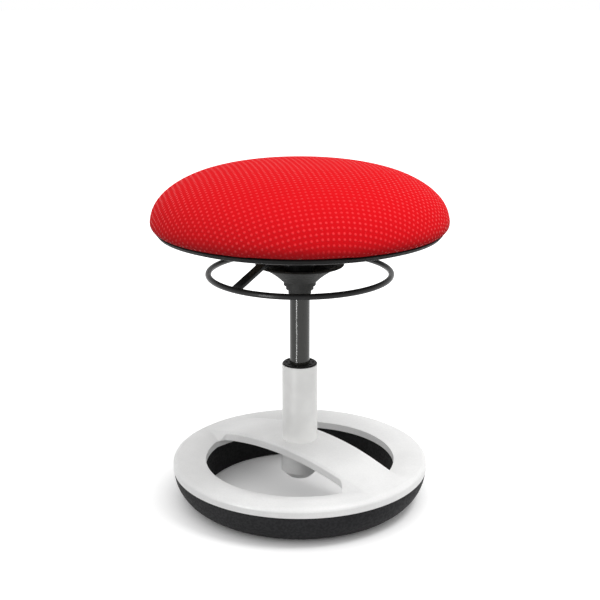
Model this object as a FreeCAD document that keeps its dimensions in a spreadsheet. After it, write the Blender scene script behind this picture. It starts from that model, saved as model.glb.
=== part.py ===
import FreeCAD, Part
import math
import os
import re

import Sketcher
from FreeCAD import Placement, Rotation, Vector

# A wobble stool: a domed seat on a gas spring, over an arched base that stands on a convex
# rocker ring. Millimetres, +Z up, origin on the floor under the column, front towards -Y.

SIZES = (
    # base ring and rocker
    ("parting_height", 46.0, "joint line between the rocker and the base cover"),
    ("base_radius", 180.7, "outside of the base cover"),
    ("ring_width", 46.3, "width of the base ring"),
    ("crest_inset", 18.7, "highest line of the ring's top, in from the outside"),
    ("crest_height", 60.3, "level of that line"),
    ("inner_fall", 6.4, "how far the ring's top falls to its inner edge"),
    ("outer_fall", 1.6, "how far the ring's top falls to its outer edge"),
    ("side_height", 8.0, "upright side of the cover above the joint line"),
    ("shoulder_radius", 4.0, "rounding of the cover's outer edge"),
    ("cover_wall", 4.0, "wall of the moulded cover"),
    ("cover_lip", 1.0, "inner wall of the cover below the joint line"),
    ("rocker_setback", 0.7, "shadow gap of the rocker under the cover's side"),
    ("rocker_arc", 48.0, "radius of the rocker's convex side"),
    ("rocker_wall", 6.0, "wall of the rocker"),
    ("rocker_sole", 9.0, "thickness of the rocker over the floor"),
    ("sole_rounding", 5.0, "rounding of the sole's inner edge"),
    ("land_width", 11.7, "rocker's bore to the outside of the flat land on the floor"),
    ("rocker_rib", 3.0, "thickness of the rocker's inner ribs"),
    # bridge
    ("bridge_angle", -44.6, "direction of the bridge, from +X"),
    ("bridge_peak", 84.7, "top of the arched bridge"),
    ("bridge_fall", 18.95, "how far the arch falls to the opening's edge"),
    ("bridge_thickness", 13.3, "depth of the bridge's side"),
    ("bridge_half_width", 40.7, "half width of the bridge at its middle"),
    ("bridge_waist", 2.7, "how much narrower each side is at the ring"),
    ("bridge_rounding", 2.4, "width of the rounding along the bridge's edges"),
    ("foot_blend", 5.0, "softness of the bridge's foot on the ring"),
    ("corner_radius", 11.0, "corners of the two openings"),
    ("bridge_rib", 3.0, "thickness of the ribs under the bridge"),
    # hub under the bridge
    ("hub_wall", 1.3, "wall of the hub round the column"),
    ("hub_bottom", 27.9, "underside of the hub"),
    ("hub_chamfer", 9.5, "chamfer round the hub's lower end"),
    ("hub_hole", 9.0, "service hole in the hub's floor"),
    ("hub_floor", 3.1, "thickness of the hub's floor"),
    # screws of the base
    ("base_screw_inset", 23.7, "screws' circle, in from the outside"),
    ("base_screw_count", 6, "screws that hold the rocker"),
    ("base_screw_radius", 2.0, "shank of a base screw"),
    ("base_screw_head", 4.0, "radius of a base screw's head"),
    ("base_screw_head_height", 2.6, "height of a base screw's head"),
    ("base_screw_depth", 9.0, "how far a base screw enters the cover"),
    ("boss_radius", 5.5, "screw bosses"),
    ("boss_foot", 10.0, "lower end of the rocker's bosses"),
    ("counterbore_top", 14.0, "seat of a base screw's head"),
    # column
    ("column_radius", 25.0, "outside of the column"),
    ("column_wall", 2.6, "wall of the column"),
    ("column_taper", 0.6, "how much slimmer the column is at its lower end"),
    ("column_seat", 40.0, "lower end of the column in the hub"),
    ("column_top", 195.8, "upper end of the column"),
    ("rolled_edge", 3.4, "how far the column's lower edge is rolled in"),
    ("plate", 3.0, "thickness of the rolled edge and of the column's floor"),
    ("fit_gap", 0.05, "radial clearance of fitted and sliding parts"),
    ("soft_gap", 0.3, "clearance round soft parts"),
    # guide bush
    ("bush_length", 58.0, "guide bush inside the column"),
    ("bush_setback", 1.2, "flange of the guide bush, in from the column's outside"),
    ("bush_flange", 2.0, "thickness of that flange"),
    ("bush_hole_count", 10, "vent holes in the flange"),
    ("bush_hole_depth", 16.0, "depth of the vent holes"),
    # bearing
    ("journal_radius", 4.0, "lower end of the piston rod"),
    ("race_outer", 12.0, "outside of the bearing's races"),
    ("race_thickness", 1.6, "thickness of a race"),
    ("ball_radius", 1.9, "balls of the thrust bearing"),
    ("ball_circle", 9.0, "circle of the balls"),
    ("ball_count", 8, "balls"),
    ("cage_thickness", 1.2, "ball cage"),
    ("washer_radius", 9.0, "washer under the column's floor"),
    ("clip_radius", 7.0, "retaining clip"),
    ("clip_thickness", 1.2, "retaining clip"),
    ("clip_groove", 0.9, "depth of the clip's groove"),
    ("rod_tail", 4.2, "piston rod below the clip"),
    ("buffer_height", 7.0, "rubber buffer on the bearing"),
    ("buffer_radius", 12.0, "rubber buffer"),
    # gas spring
    ("stroke", 90.0, "travel of the height adjustment"),
    ("end_clearance", 1.0, "gap left at the end of the travel"),
    ("tube_radius", 14.0, "outside of the gas spring's tube"),
    ("tube_wall", 1.75, "wall of the gas spring's tube"),
    ("tube_lip", 1.2, "thickness of the tube's rolled ends"),
    ("tube_top", 358.0, "upper end of the tube"),
    ("taper_length", 40.0, "length of the tube's taper"),
    ("taper_drop", 0.6, "how much slimmer the tube is at the end of its taper"),
    ("rod_radius", 5.0, "piston rod"),
    ("rod_guide_length", 14.0, "guide at the tube's lower end"),
    ("rod_seal_length", 4.0, "seal over the rod guide"),
    ("piston_height", 10.0, "piston"),
    ("piston_tail_radius", 3.5, "rod's upper end through the piston"),
    ("piston_ring_height", 2.4, "piston ring"),
    ("piston_ring_depth", 1.4, "depth of the piston ring's groove"),
    ("nut_radius", 6.4, "piston nut across its corners"),
    ("nut_height", 3.5, "piston nut"),
    ("valve_length", 15.0, "valve body in the tube's upper end"),
    ("pin_radius", 4.0, "release pin"),
    ("pin_rise", 6.7, "release pin above the tube at rest"),
    ("pin_length", 15.7, "release pin"),
    ("pin_dome", 0.6, "height of the release pin's domed end"),
    ("pin_well", 4.0, "room under the release pin"),
    # mechanism
    ("lever_angle", -133.0, "direction of the visible arm, from +X"),
    ("cone_wall", 5.0, "wall of the tapered socket"),
    ("collar_width", 2.3, "collar that carries the shroud"),
    ("cone_collar", 3.0, "thickness of that collar"),
    ("flange_reach", 8.0, "flange under the housing"),
    ("cone_stub", 3.0, "socket above the housing's floor"),
    ("housing_drop", 10.0, "underside of the housing below the tube's top"),
    ("housing_height", 37.5, "mechanism housing"),
    ("sheet", 3.0, "steel sheet of the mechanism"),
    ("housing_half_length", 48.0, "mechanism housing along the arms"),
    ("housing_half_width", 25.0, "mechanism housing across the arms"),
    ("flange_width", 39.0, "flanges against the seat board"),
    ("bolt_end_distance", 10.0, "seat bolts from the housing's ends"),
    ("bolt_edge_distance", 16.0, "seat bolts from the flanges' edges"),
    ("seat_bolt_radius", 4.0, "seat bolt's shank"),
    ("seat_bolt_head", 7.3, "seat bolt's head across its corners"),
    ("seat_bolt_head_height", 5.3, "seat bolt's head"),
    ("seat_bolt_length", 12.5, "seat bolt above the flange's underside"),
    ("pivot_offset", 30.0, "lever's pivot from the column's axis"),
    ("pivot_radius", 3.0, "pivot pin"),
    ("pivot_head", 4.6, "heads of the pivot pin"),
    ("pivot_head_height", 2.0, "heads of the pivot pin"),
    ("barrel_radius", 5.6, "barrel of the yoke"),
    ("yoke_side_gap", 3.0, "gap between the yoke and the housing's walls"),
    ("yoke_half_length", 40.0, "yoke along the arms"),
    ("pin_gap", 0.3, "gap between the yoke and the release pin"),
    ("arm_width", 11.5, "flat arm"),
    ("arm_level", 2.0, "level stretch of an arm before it bends down"),
    ("ring_radius", 125.5, "centre line of the lever ring"),
    ("ring_wire", 4.0, "radius of the lever ring's wire"),
    ("ring_drop", 31.0, "lever ring below the tube's top"),
    # shroud
    ("shroud_drop", 59.4, "lower end of the shroud below the tube's top"),
    ("shroud_height", 41.9, "height of the shroud"),
    ("neck_gap", 1.9, "outside of the shroud's lower end from the tube"),
    ("neck_step", 3.2, "how far each neck ring stands out of the one below"),
    ("neck_ring", 5.9, "height of a neck ring"),
    ("neck_rings", 3, "rings in the neck"),
    ("cone_start", 11.0, "foot of the shroud's cone, out from the tube"),
    ("shroud_reach", 47.0, "rim of the shroud, out from the tube"),
    ("cone_steps", 6, "stepped rings on the shroud's cone"),
    ("shroud_wall", 1.6, "wall of the shroud"),
    # seat
    ("board_thickness", 12.0, "seat board"),
    ("board_inset", 21.2, "edge of the board, in from the cushion's widest part"),
    ("t_nut_radius", 5.5, "barrel of a T-nut"),
    ("t_nut_flange", 11.0, "flange of a T-nut"),
    ("t_nut_plate", 1.2, "thickness of that flange"),
    ("t_nut_length", 10.0, "T-nut"),
    ("shell_hole", 92.0, "opening in the seat shell"),
    ("shell_rim_inset", 7.2, "shell's rim, in from the cushion's widest part"),
    ("shell_edge_inset", 10.7, "shell's lower edge, in from the cushion's widest part"),
    ("shell_rim_rise", 5.5, "shell's rim above the board's underside"),
    ("shell_wall", 3.0, "wall of the seat shell"),
    ("shell_rim_width", 6.5, "width of the shell's rim"),
    ("shell_screw_inset", 29.5, "shell's screws, in from the board's edge"),
    ("shell_screw_count", 6, "shell screws"),
    ("shell_screw_radius", 1.75, "shank of a shell screw"),
    ("shell_screw_head", 3.6, "head of a shell screw"),
    ("shell_screw_head_height", 2.0, "head of a shell screw"),
    ("shell_screw_length", 11.0, "shell screw above its head"),
    ("seat_radius", 202.7, "widest part of the cushion"),
    ("waist_rise", 13.7, "cushion's widest part above the board's underside"),
    ("crown_rise", 80.4, "cushion's top above its widest part"),
    ("cushion_power", 2.2, "how flat the crown is"),
    ("cushion_fullness", 2.42, "how full the crown's shoulder is"),
    ("cover_cloth", 1.2, "thickness of the seat cover"),
    ("tuck_gap", 1.5, "inner edge of the seat cover's tuck from the board"),
)

# Sizes that follow from the ones above

DERIVED = (
    ("opening_radius", "base_radius - ring_width", "inside of the base ring"),
    ("crest_radius", "base_radius - crest_inset", "highest line of the ring's top"),
    ("rocker_bore", "opening_radius + soft_gap", "inside of the rocker"),
    ("land_radius", "rocker_bore + land_width", "outside of the flat land"),
    ("bridge_arc", "(opening_radius ^ 2 + bridge_fall ^ 2) / (2 * bridge_fall)", "radius of the arch"),
    ("hub_radius", "column_radius + hub_wall", "outside of the hub"),
    ("base_screw_circle", "base_radius - base_screw_inset", "circle of the base screws"),
    ("column_bore", "column_radius - column_wall", "inside of the column"),
    ("column_end_radius", "column_radius - column_taper", "column's lower end"),
    ("column_lip", "column_bore - rolled_edge", "inside of the rolled edge"),
    ("bush_flange_radius", "column_radius - bush_setback", "flange of the guide bush"),
    ("bush_hole_circle", "(column_bore + tube_radius) / 2", "circle of the vent holes"),
    ("bush_hole_radius", "(column_bore - tube_radius) / 4", "vent holes"),
    ("tube_bore", "tube_radius - tube_wall", "inside of the tube"),
    ("tube_lip_bore", "tube_bore - tube_wall", "opening in the rolled ends"),
    ("taper_start", "tube_top - taper_length", "where the tube's taper starts"),
    ("taper_end_radius", "tube_radius - taper_drop", "tube at the end of its taper"),
    ("seal_lip", "(rod_radius + tube_bore) / 2", "outside of the seal's lip"),
    ("cone_radius", "tube_radius + cone_wall", "outside of the tapered socket"),
    ("cone_collar_radius", "cone_radius + collar_width", "collar of the socket"),
    ("cone_flange_radius", "cone_radius + flange_reach", "flange of the socket"),
    ("housing_floor", "tube_top - housing_drop", "underside of the housing"),
    ("board_bottom", "housing_floor + housing_height", "underside of the seat board"),
    ("board_top", "board_bottom + board_thickness", "top of the seat board"),
    ("seat_bolt_x", "housing_half_length - bolt_end_distance", "seat bolts along the arms"),
    ("seat_bolt_y", "housing_half_width + flange_width - bolt_edge_distance", "seat bolts across the arms"),
    ("yoke_half_width", "housing_half_width - sheet - yoke_side_gap", "yoke across the arms"),
    ("arm_bend", "yoke_half_length + arm_level", "where an arm bends down"),
    ("ring_height", "tube_top - ring_drop", "level of the lever ring"),
    ("shroud_bottom", "tube_top - shroud_drop", "lower end of the shroud"),
    ("shroud_top", "shroud_bottom + shroud_height", "level of the shroud's rim"),
    ("shroud_neck", "tube_radius + neck_gap", "outside of the shroud's lower end"),
    ("shroud_cone_start", "tube_radius + cone_start", "foot of the shroud's cone"),
    ("shroud_rim", "tube_radius + shroud_reach", "outside of the shroud's rim"),
    ("board_radius", "seat_radius - board_inset", "seat board"),
    ("shell_rim_radius", "seat_radius - shell_rim_inset", "shell's rim"),
    ("shell_edge_radius", "seat_radius - shell_edge_inset", "shell's lower edge"),
    ("shell_rim_height", "board_bottom + shell_rim_rise", "level of the shell's rim"),
    ("shell_screw_circle", "board_radius - shell_screw_inset", "circle of the shell's screws"),
    ("seat_waist_height", "board_bottom + waist_rise", "level of the cushion's widest part"),
    ("seat_apex", "seat_waist_height + crown_rise", "top of the cushion"),
    ("cover_tuck", "board_radius + tuck_gap", "inner edge of the seat cover's tuck"),
    # levels of the bearing, from the column's floor up
    ("floor_low", "column_seat + plate", "underside of the column's floor"),
    ("floor_top", "floor_low + plate", "top of the column's floor"),
    ("lower_race_top", "floor_top + race_thickness", "top of the lower race"),
    ("ball_level", "lower_race_top + ball_radius", "middle of the balls"),
    ("upper_race_low", "ball_level + ball_radius + fit_gap", "underside of the upper race"),
    ("rod_shoulder", "upper_race_low + race_thickness", "shoulder of the piston rod"),
    ("washer_top", "floor_low - fit_gap", "top of the washer"),
    ("clip_top", "washer_top - race_thickness", "top of the retaining clip"),
    ("clip_low", "clip_top - clip_thickness", "underside of the retaining clip"),
    # levels inside the gas spring
    ("tube_low", "rod_shoulder + buffer_height + end_clearance + stroke", "lower end of the tube"),
    ("guide_top", "tube_low + tube_lip + rod_guide_length", "top of the rod guide"),
    ("seal_top", "guide_top + rod_seal_length", "top of the seal"),
    ("piston_low", "seal_top + end_clearance", "underside of the piston"),
    ("piston_top", "piston_low + piston_height", "top of the piston"),
    ("ring_groove_low", "piston_low + (piston_height - piston_ring_height) / 2", "piston ring's groove"),
    ("ring_groove_top", "ring_groove_low + piston_ring_height", "piston ring's groove"),
    ("pin_top", "tube_top + pin_rise", "top of the release pin"),
    ("pin_low", "pin_top - pin_length", "lower end of the release pin"),
    ("yoke_low", "pin_top + pin_gap", "underside of the yoke"),
    ("yoke_top", "yoke_low + sheet", "top of the yoke"),
    ("pivot_level", "yoke_low + sheet / 2", "level of the pivot pin"),
)

doc = FreeCAD.newDocument("WobbleStool")
sheet = doc.addObject("Spreadsheet::Sheet", "Sizes")
for row, (alias, number, note) in enumerate(SIZES, start=1):
    sheet.set("A%d" % row, alias)
    sheet.set("B%d" % row, str(number))
    sheet.set("C%d" % row, note)
    sheet.setAlias("B%d" % row, alias)
for row, (alias, rule, note) in enumerate(DERIVED, start=len(SIZES) + 1):
    sheet.set("A%d" % row, alias)
    sheet.set("B%d" % row, "=" + rule)
    sheet.set("C%d" % row, note)
    sheet.setAlias("B%d" % row, alias)
doc.recompute()
ALIASES = {entry[0] for entry in SIZES + DERIVED}
NODES = []


# Helpers for sizes, sketches and features

def formula(text):
    """The same formula with every size looked up in the sheet."""
    def look_up(word):
        return "Sizes." + word.group() if word.group() in ALIASES else word.group()
    return re.sub(r"[a-z][a-z0-9_]*", look_up, text)


def size(text):
    """The value of a formula of sizes."""
    return float(sheet.evalExpression(formula(text)))


def bind(item, name, text):
    """Ties a property to a formula of sizes."""
    item.setExpression(name, formula(text))


def node(item, label):
    """Marks a document object as a finished piece of the stool."""
    item.Label = label
    NODES.append(item)
    return item


def plane_of(body, role):
    return next(item for item in body.Origin.OriginFeatures if item.Role == role)


def sketch_on(body, role, name, level="0"):
    """An empty sketch on one of the body's own planes, raised by a formula."""
    sketch = body.newObject("Sketcher::SketchObject", name)
    sketch.AttachmentSupport = (plane_of(body, role), [""])
    sketch.MapMode = "FlatFace"
    if level != "0":
        bind(sketch, "AttachmentOffset.Base.z", level)
    return sketch


def pin_point(sketch, edge, end, x_text, y_text):
    """Fixes one end of an edge at a place given by two formulas."""
    for kind, axis, text in (("DistanceX", -2, x_text), ("DistanceY", -1, y_text)):
        if text == "0":
            sketch.addConstraint(Sketcher.Constraint("PointOnObject", edge, end, axis))
            continue
        rule = sketch.addConstraint(Sketcher.Constraint(kind, -1, 1, edge, end, size(text)))
        sketch.setExpression("Constraints[%d]" % rule, formula(text))


def arc_middle(start, end, radius):
    """Middle of an arc; a positive radius bulges to the right of the way from start to end."""
    chord = end - start
    half = chord.Length / 2
    sagitta = abs(radius) - math.sqrt(radius ** 2 - half ** 2)
    side = Vector(chord.y, -chord.x, 0).normalize() * math.copysign(sagitta, radius)
    return (start + end) / 2 + side


def outline(sketch, corners):
    """A closed outline through corners (x, y), or (x, y, radius) where an arc leads on."""
    places = [Vector(size(corner[0]), size(corner[1]), 0) for corner in corners]
    ends = []
    for index, corner in enumerate(corners):
        start = places[index]
        stop = places[(index + 1) % len(corners)]
        if len(corner) == 2:
            edge = sketch.addGeometry(Part.LineSegment(start, stop), False)
        else:
            middle = arc_middle(start, stop, size(corner[2]))
            edge = sketch.addGeometry(Part.Arc(start, middle, stop), False)
            rule = sketch.addConstraint(Sketcher.Constraint("Radius", edge, abs(size(corner[2]))))
            sketch.setExpression("Constraints[%d]" % rule, formula("abs(" + corner[2] + ")"))
        first_is_start = sketch.getPoint(edge, 1).distanceToPoint(start) < 1e-6
        ends.append((edge, 1, 2) if first_is_start else (edge, 2, 1))
    for index, (edge, start_end, stop_end) in enumerate(ends):
        following = ends[(index + 1) % len(ends)]
        sketch.addConstraint(Sketcher.Constraint("Coincident", edge, stop_end, following[0], following[1]))
        pin_point(sketch, edge, start_end, corners[index][0], corners[index][1])


def circle(sketch, x_text, y_text, radius_text):
    """A circle whose centre and radius are formulas."""
    centre = Vector(size(x_text), size(y_text), 0)
    edge = sketch.addGeometry(Part.Circle(centre, Vector(0, 0, 1), size(radius_text)), False)
    rule = sketch.addConstraint(Sketcher.Constraint("Radius", edge, size(radius_text)))
    sketch.setExpression("Constraints[%d]" % rule, formula(radius_text))
    pin_point(sketch, edge, 3, x_text, y_text)


def rectangle(sketch, x_low, y_low, x_high, y_high):
    outline(sketch, ((x_low, y_low), (x_high, y_low), (x_high, y_high), (x_low, y_high)))


def turned_body(label, corners):
    """A body of revolution about the vertical axis, from (radius, height) corners."""
    body = doc.addObject("PartDesign::Body", label)
    profile = sketch_on(body, "XZ_Plane", label + "_profile")
    outline(profile, corners)
    turn = body.newObject("PartDesign::Revolution", label + "_turn")
    turn.Profile = profile
    turn.ReferenceAxis = (profile, ["V_Axis"])
    turn.Angle = 360
    return body


def tube_body(label, inner, outer, low, high):
    """A plain ring or disc, from formulas of its radii and levels."""
    return turned_body(label, ((inner, low), (outer, low), (outer, high), (inner, high)))


def grooved(body, name, corners):
    """Turns a groove into a body of revolution."""
    profile = sketch_on(body, "XZ_Plane", name + "_profile")
    outline(profile, corners)
    groove = body.newObject("PartDesign::Groove", name)
    groove.Profile = profile
    groove.ReferenceAxis = (profile, ["V_Axis"])
    groove.Angle = 360
    return groove


def padded(body, name, sketch, length, symmetric=False):
    pad = body.newObject("PartDesign::Pad", name)
    pad.Profile = sketch
    bind(pad, "Length", length)
    if symmetric:
        pad.SideType = "Symmetric"
    return pad


def pocketed(body, name, sketch, length):
    """Cuts a sketch upwards, along its plane's normal."""
    pocket = body.newObject("PartDesign::Pocket", name)
    pocket.Profile = sketch
    pocket.Reversed = True
    bind(pocket, "Length", length)
    return pocket


def repeated(body, name, features, sketch, count):
    """Repeats features evenly about the vertical axis."""
    pattern = body.newObject("PartDesign::PolarPattern", name)
    pattern.Originals = features
    pattern.Axis = (sketch, ["N_Axis"])
    pattern.Angle = 360
    bind(pattern, "Occurrences", count)
    body.Tip = pattern
    return pattern


def cylinder(name, radius, height, x_text, y_text, level):
    """An upright cylinder whose size and place are formulas."""
    rod = doc.addObject("Part::Cylinder", name)
    bind(rod, "Radius", radius)
    bind(rod, "Height", height)
    bind(rod, "Placement.Base.x", x_text)
    bind(rod, "Placement.Base.y", y_text)
    bind(rod, "Placement.Base.z", level)
    return rod


def hexagon(name, corner_radius, height, x_text, y_text, level):
    """An upright hexagonal prism whose size and place are formulas."""
    prism = doc.addObject("Part::Prism", name)
    prism.Polygon = 6
    bind(prism, "Circumradius", corner_radius)
    bind(prism, "Height", height)
    bind(prism, "Placement.Base.x", x_text)
    bind(prism, "Placement.Base.y", y_text)
    bind(prism, "Placement.Base.z", level)
    return prism


def fused(name, shapes):
    joined = doc.addObject("Part::MultiFuse", name)
    joined.Shapes = shapes
    return joined


def cut(name, base, tool):
    result = doc.addObject("Part::Cut", name)
    result.Base = base
    result.Tool = tool
    return result


def group(label, items):
    """Like pieces that share one node as separate solids."""
    bundle = doc.addObject("Part::Compound", label)
    bundle.Links = items
    return node(bundle, label)


def round_places(circle_text, count_text, start_degrees):
    """Formulas of places evenly round a circle."""
    count = int(size(count_text))
    for index in range(count):
        turn = "(%g + %d * 360 / %s) * 1 deg" % (start_degrees, index, count_text)
        yield index, "%s * cos(%s)" % (circle_text, turn), "%s * sin(%s)" % (circle_text, turn)


def turned_by(item, angle_text):
    """Turns a finished piece about the vertical axis."""
    item.Placement = Placement(Vector(0, 0, 0), Rotation(Vector(0, 0, 1), size(angle_text)))
    return item


# Base: rocker ring

BASE_SCREW_START = 30

CAVITY = (
    ("rocker_bore + rocker_wall", "parting_height"),
    ("rocker_bore + rocker_wall", "rocker_sole"),
    ("land_radius + rocker_wall", "rocker_sole", "rocker_arc - rocker_wall"),
    ("base_radius - rocker_setback - rocker_wall", "parting_height"),
)


def build_rocker():
    """Convex ring of soft plastic, hollow and ribbed inside, with bosses for its screws."""
    body = turned_body("rocker_ring", (
        ("rocker_bore", "sole_rounding", "sole_rounding"),
        ("rocker_bore + sole_rounding", "0"),
        ("land_radius", "0", "rocker_arc"),
        ("base_radius - rocker_setback", "parting_height"),
        ("rocker_bore + rocker_wall", "parting_height"),
        ("rocker_bore + rocker_wall", "parting_height - cover_lip"),
        ("rocker_bore", "parting_height - cover_lip"),
    ))
    grooved(body, "rocker_cavity", CAVITY)
    rib_sketch = sketch_on(body, "XZ_Plane", "rocker_rib_outline")
    outline(rib_sketch, (
        ("rocker_bore + rocker_wall / 2", "parting_height - 2"),
        ("rocker_bore + rocker_wall / 2", "rocker_sole - 1"),
        ("land_radius + rocker_wall", "rocker_sole - 1", "rocker_arc - rocker_wall"),
        ("base_radius - rocker_setback - rocker_wall / 2", "parting_height - 2"),
    ))
    rib = padded(body, "rocker_rib_pad", rib_sketch, "rocker_rib", symmetric=True)
    place = next(round_places("base_screw_circle", "base_screw_count", BASE_SCREW_START))
    boss_sketch = sketch_on(body, "XY_Plane", "rocker_boss_circle", "boss_foot")
    circle(boss_sketch, place[1], place[2], "boss_radius")
    boss = padded(body, "rocker_boss", boss_sketch, "parting_height - boss_foot")
    repeated(body, "rocker_ribs_and_bosses", [rib, boss], boss_sketch, "base_screw_count")
    hole_sketch = sketch_on(body, "XY_Plane", "rocker_hole_circle")
    circle(hole_sketch, place[1], place[2], "base_screw_radius + soft_gap")
    hole = pocketed(body, "rocker_hole", hole_sketch, "parting_height")
    sink_sketch = sketch_on(body, "XY_Plane", "rocker_sink_circle")
    circle(sink_sketch, place[1], place[2], "base_screw_head + soft_gap")
    sink = pocketed(body, "rocker_sink", sink_sketch, "counterbore_top")
    repeated(body, "rocker_holes", [hole, sink], hole_sketch, "base_screw_count")
    return node(body, "rocker_ring")


# Base: sculpted cover with its arched bridge

def crown_height(radius):
    """Level of the ring's top at a radius from the axis."""
    crest = size("crest_radius")
    if radius < crest:
        share = (crest - radius) / (crest - size("opening_radius"))
        return size("crest_height") - size("inner_fall") * share ** 2
    share = (radius - crest) / (size("base_radius") - crest)
    return size("crest_height") - size("outer_fall") * share ** 2


def arch_height(along):
    """Level of the arch's circle at a distance along the bridge."""
    radius = size("bridge_arc")
    return size("bridge_peak") - radius + math.sqrt(radius ** 2 - along ** 2)


def half_width_at(along):
    """Half width of the bridge, which narrows a little towards the ring."""
    return size("bridge_half_width") - size("bridge_waist") * (along / size("opening_radius")) ** 2


def top_level(along, across):
    """Level of the cover's top: the higher of ring and bridge, with a soft change between."""
    ring = crown_height(max(math.hypot(along, across), size("opening_radius")))
    past_edge = max(0.0, abs(across) - half_width_at(along) + size("bridge_rounding"))
    edge_drop = 3 * past_edge ** 2 / (past_edge + size("bridge_rounding"))
    bridge = max(arch_height(along) - edge_drop, ring - 40)
    blend = size("foot_blend")
    return (ring + bridge + math.sqrt((ring - bridge) ** 2 + blend ** 2)) / 2


def even_breaks(low, high, step):
    count = max(1, math.ceil((high - low) / step))
    return [low + (high - low) * index / count for index in range(count)]


def mirrored_breaks(half):
    return [-value for value in reversed(half[1:])] + half


def net_places(breaks):
    """Knots of a cubic spline and the places of its control points."""
    knots = [breaks[0]] * 3 + breaks + [breaks[-1]] * 3
    return [sum(knots[i + 1:i + 4]) / 3 for i in range(len(breaks) + 2)]


def sculpted_top():
    """The cover's top as one smooth surface over its plan."""
    reach = size("base_radius") + 6
    edge = size("bridge_half_width")
    across = even_breaks(0, edge - 9, 11) + even_breaks(edge - 9, edge + 7, 2) + even_breaks(edge + 7, reach, 8.5)
    along = even_breaks(0, size("opening_radius") - 24, 13) + even_breaks(size("opening_radius") - 24, reach, 7)
    along = mirrored_breaks(along + [reach])
    across = mirrored_breaks(across + [reach])
    net = [[Vector(s, t, top_level(s, t)) for t in net_places(across)] for s in net_places(along)]
    surface = Part.BSplineSurface()
    along_mults = [4] + [1] * (len(along) - 2) + [4]
    across_mults = [4] + [1] * (len(across) - 2) + [4]
    surface.buildFromPolesMultsKnots(net, along_mults, across_mults, along, across, False, False, 3, 3)
    return surface.toShape()


def revolved(corners):
    """A solid of revolution about the vertical axis, from (radius, height) numbers."""
    points = [Vector(radius, 0, level) for radius, level in corners]
    face = Part.Face(Part.makePolygon(points + points[:1]))
    return face.revolve(Vector(0, 0, 0), Vector(0, 0, 1), 360)


def cover_envelope():
    """Everything inside the cover's upright side and its rounded shoulder."""
    low = size("parting_height - cover_lip")
    base = size("parting_height")
    outer = size("base_radius")
    rounding = size("shoulder_radius")
    side_top = base + size("side_height")
    slope = math.radians(60)
    bend = Vector(outer - rounding + rounding * math.cos(slope), 0, side_top + rounding * math.sin(slope))
    half = slope / 2
    middle = Vector(outer - rounding + rounding * math.cos(half), 0, side_top + rounding * math.sin(half))
    high = size("bridge_peak") + 10
    far_in = Vector(bend.x - (high - bend.z) / math.tan(math.pi / 2 - slope), 0, high)
    edges = [
        Part.LineSegment(Vector(0, 0, low), Vector(size("opening_radius") + size("cover_wall"), 0, low)),
        Part.LineSegment(Vector(size("opening_radius") + size("cover_wall"), 0, low),
                         Vector(size("opening_radius") + size("cover_wall"), 0, base)),
        Part.LineSegment(Vector(size("opening_radius") + size("cover_wall"), 0, base), Vector(outer, 0, base)),
        Part.LineSegment(Vector(outer, 0, base), Vector(outer, 0, side_top)),
        Part.Arc(Vector(outer, 0, side_top), middle, bend),
        Part.LineSegment(bend, far_in),
        Part.LineSegment(far_in, Vector(0, 0, high)),
        Part.LineSegment(Vector(0, 0, high), Vector(0, 0, low)),
    ]
    wire = Part.Wire([edge.toShape() for edge in edges])
    return Part.Face(wire).revolve(Vector(0, 0, 0), Vector(0, 0, 1), 360)


def arch_prism(drop, half_length, half_width, low):
    """The space under the arch, lowered by a distance, as a solid across the bridge."""
    radius = size("bridge_arc") - drop
    centre = size("bridge_peak") - size("bridge_arc")
    level = centre + math.sqrt(radius ** 2 - half_length ** 2)
    left_low = Vector(-half_length, -half_width, low)
    left_top = Vector(-half_length, -half_width, level)
    crown = Vector(0, -half_width, centre + radius)
    right_top = Vector(half_length, -half_width, level)
    right_low = Vector(half_length, -half_width, low)
    edges = [
        Part.LineSegment(left_low, left_top),
        Part.Arc(left_top, crown, right_top),
        Part.LineSegment(right_top, right_low),
        Part.LineSegment(right_low, left_low),
    ]
    face = Part.Face(Part.Wire([edge.toShape() for edge in edges]))
    return face.extrude(Vector(0, 2 * half_width, 0))


def opening_prism(side):
    """One lens-shaped opening, between the bridge's edge and the ring, with round corners."""
    ring = size("opening_radius")
    edge_radius = ring ** 2 / (2 * size("bridge_waist"))
    centre = size("bridge_half_width") - edge_radius
    corner_y = (ring ** 2 - edge_radius ** 2 + centre ** 2) / (2 * centre)
    corner_x = math.sqrt(ring ** 2 - corner_y ** 2)
    low = size("parting_height") - 10
    left = Vector(-corner_x, side * corner_y, low)
    right = Vector(corner_x, side * corner_y, low)
    edge_middle = Vector(0, side * size("bridge_half_width"), low)
    ring_middle = Vector(0, side * ring, low)
    edges = [Part.Arc(left, edge_middle, right), Part.Arc(right, ring_middle, left)]
    face = Part.Face(Part.Wire([edge.toShape() for edge in edges]))
    prism = face.extrude(Vector(0, 0, size("bridge_peak") + 20 - low))
    upright = [edge for edge in prism.Edges if abs(edge.tangentAt(edge.FirstParameter).z) > 0.99]
    return prism.makeFillet(size("corner_radius"), upright)


def bridge_cells(wall, low):
    """Hollows under the bridge, left and right of the hub, parted by cross ribs."""
    inner = size("hub_radius") + wall
    outer = size("opening_radius") - 2.5 * wall
    rib = size("bridge_rib")
    count = 3
    step = (outer - inner) / count
    under = arch_prism(wall, outer, size("bridge_half_width") - size("bridge_waist") - wall, low)
    cells = []
    for side in (-1, 1):
        for index in range(count):
            start = inner + index * step + rib / 2
            box = Part.makeBox(step - rib, 2 * size("bridge_half_width"), size("bridge_peak"),
                               Vector(start, -size("bridge_half_width"), low))
            if side < 0:
                box = box.mirror(Vector(0, 0, 0), Vector(1, 0, 0))
            cells.append(under.common(box))
    return cells


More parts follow.
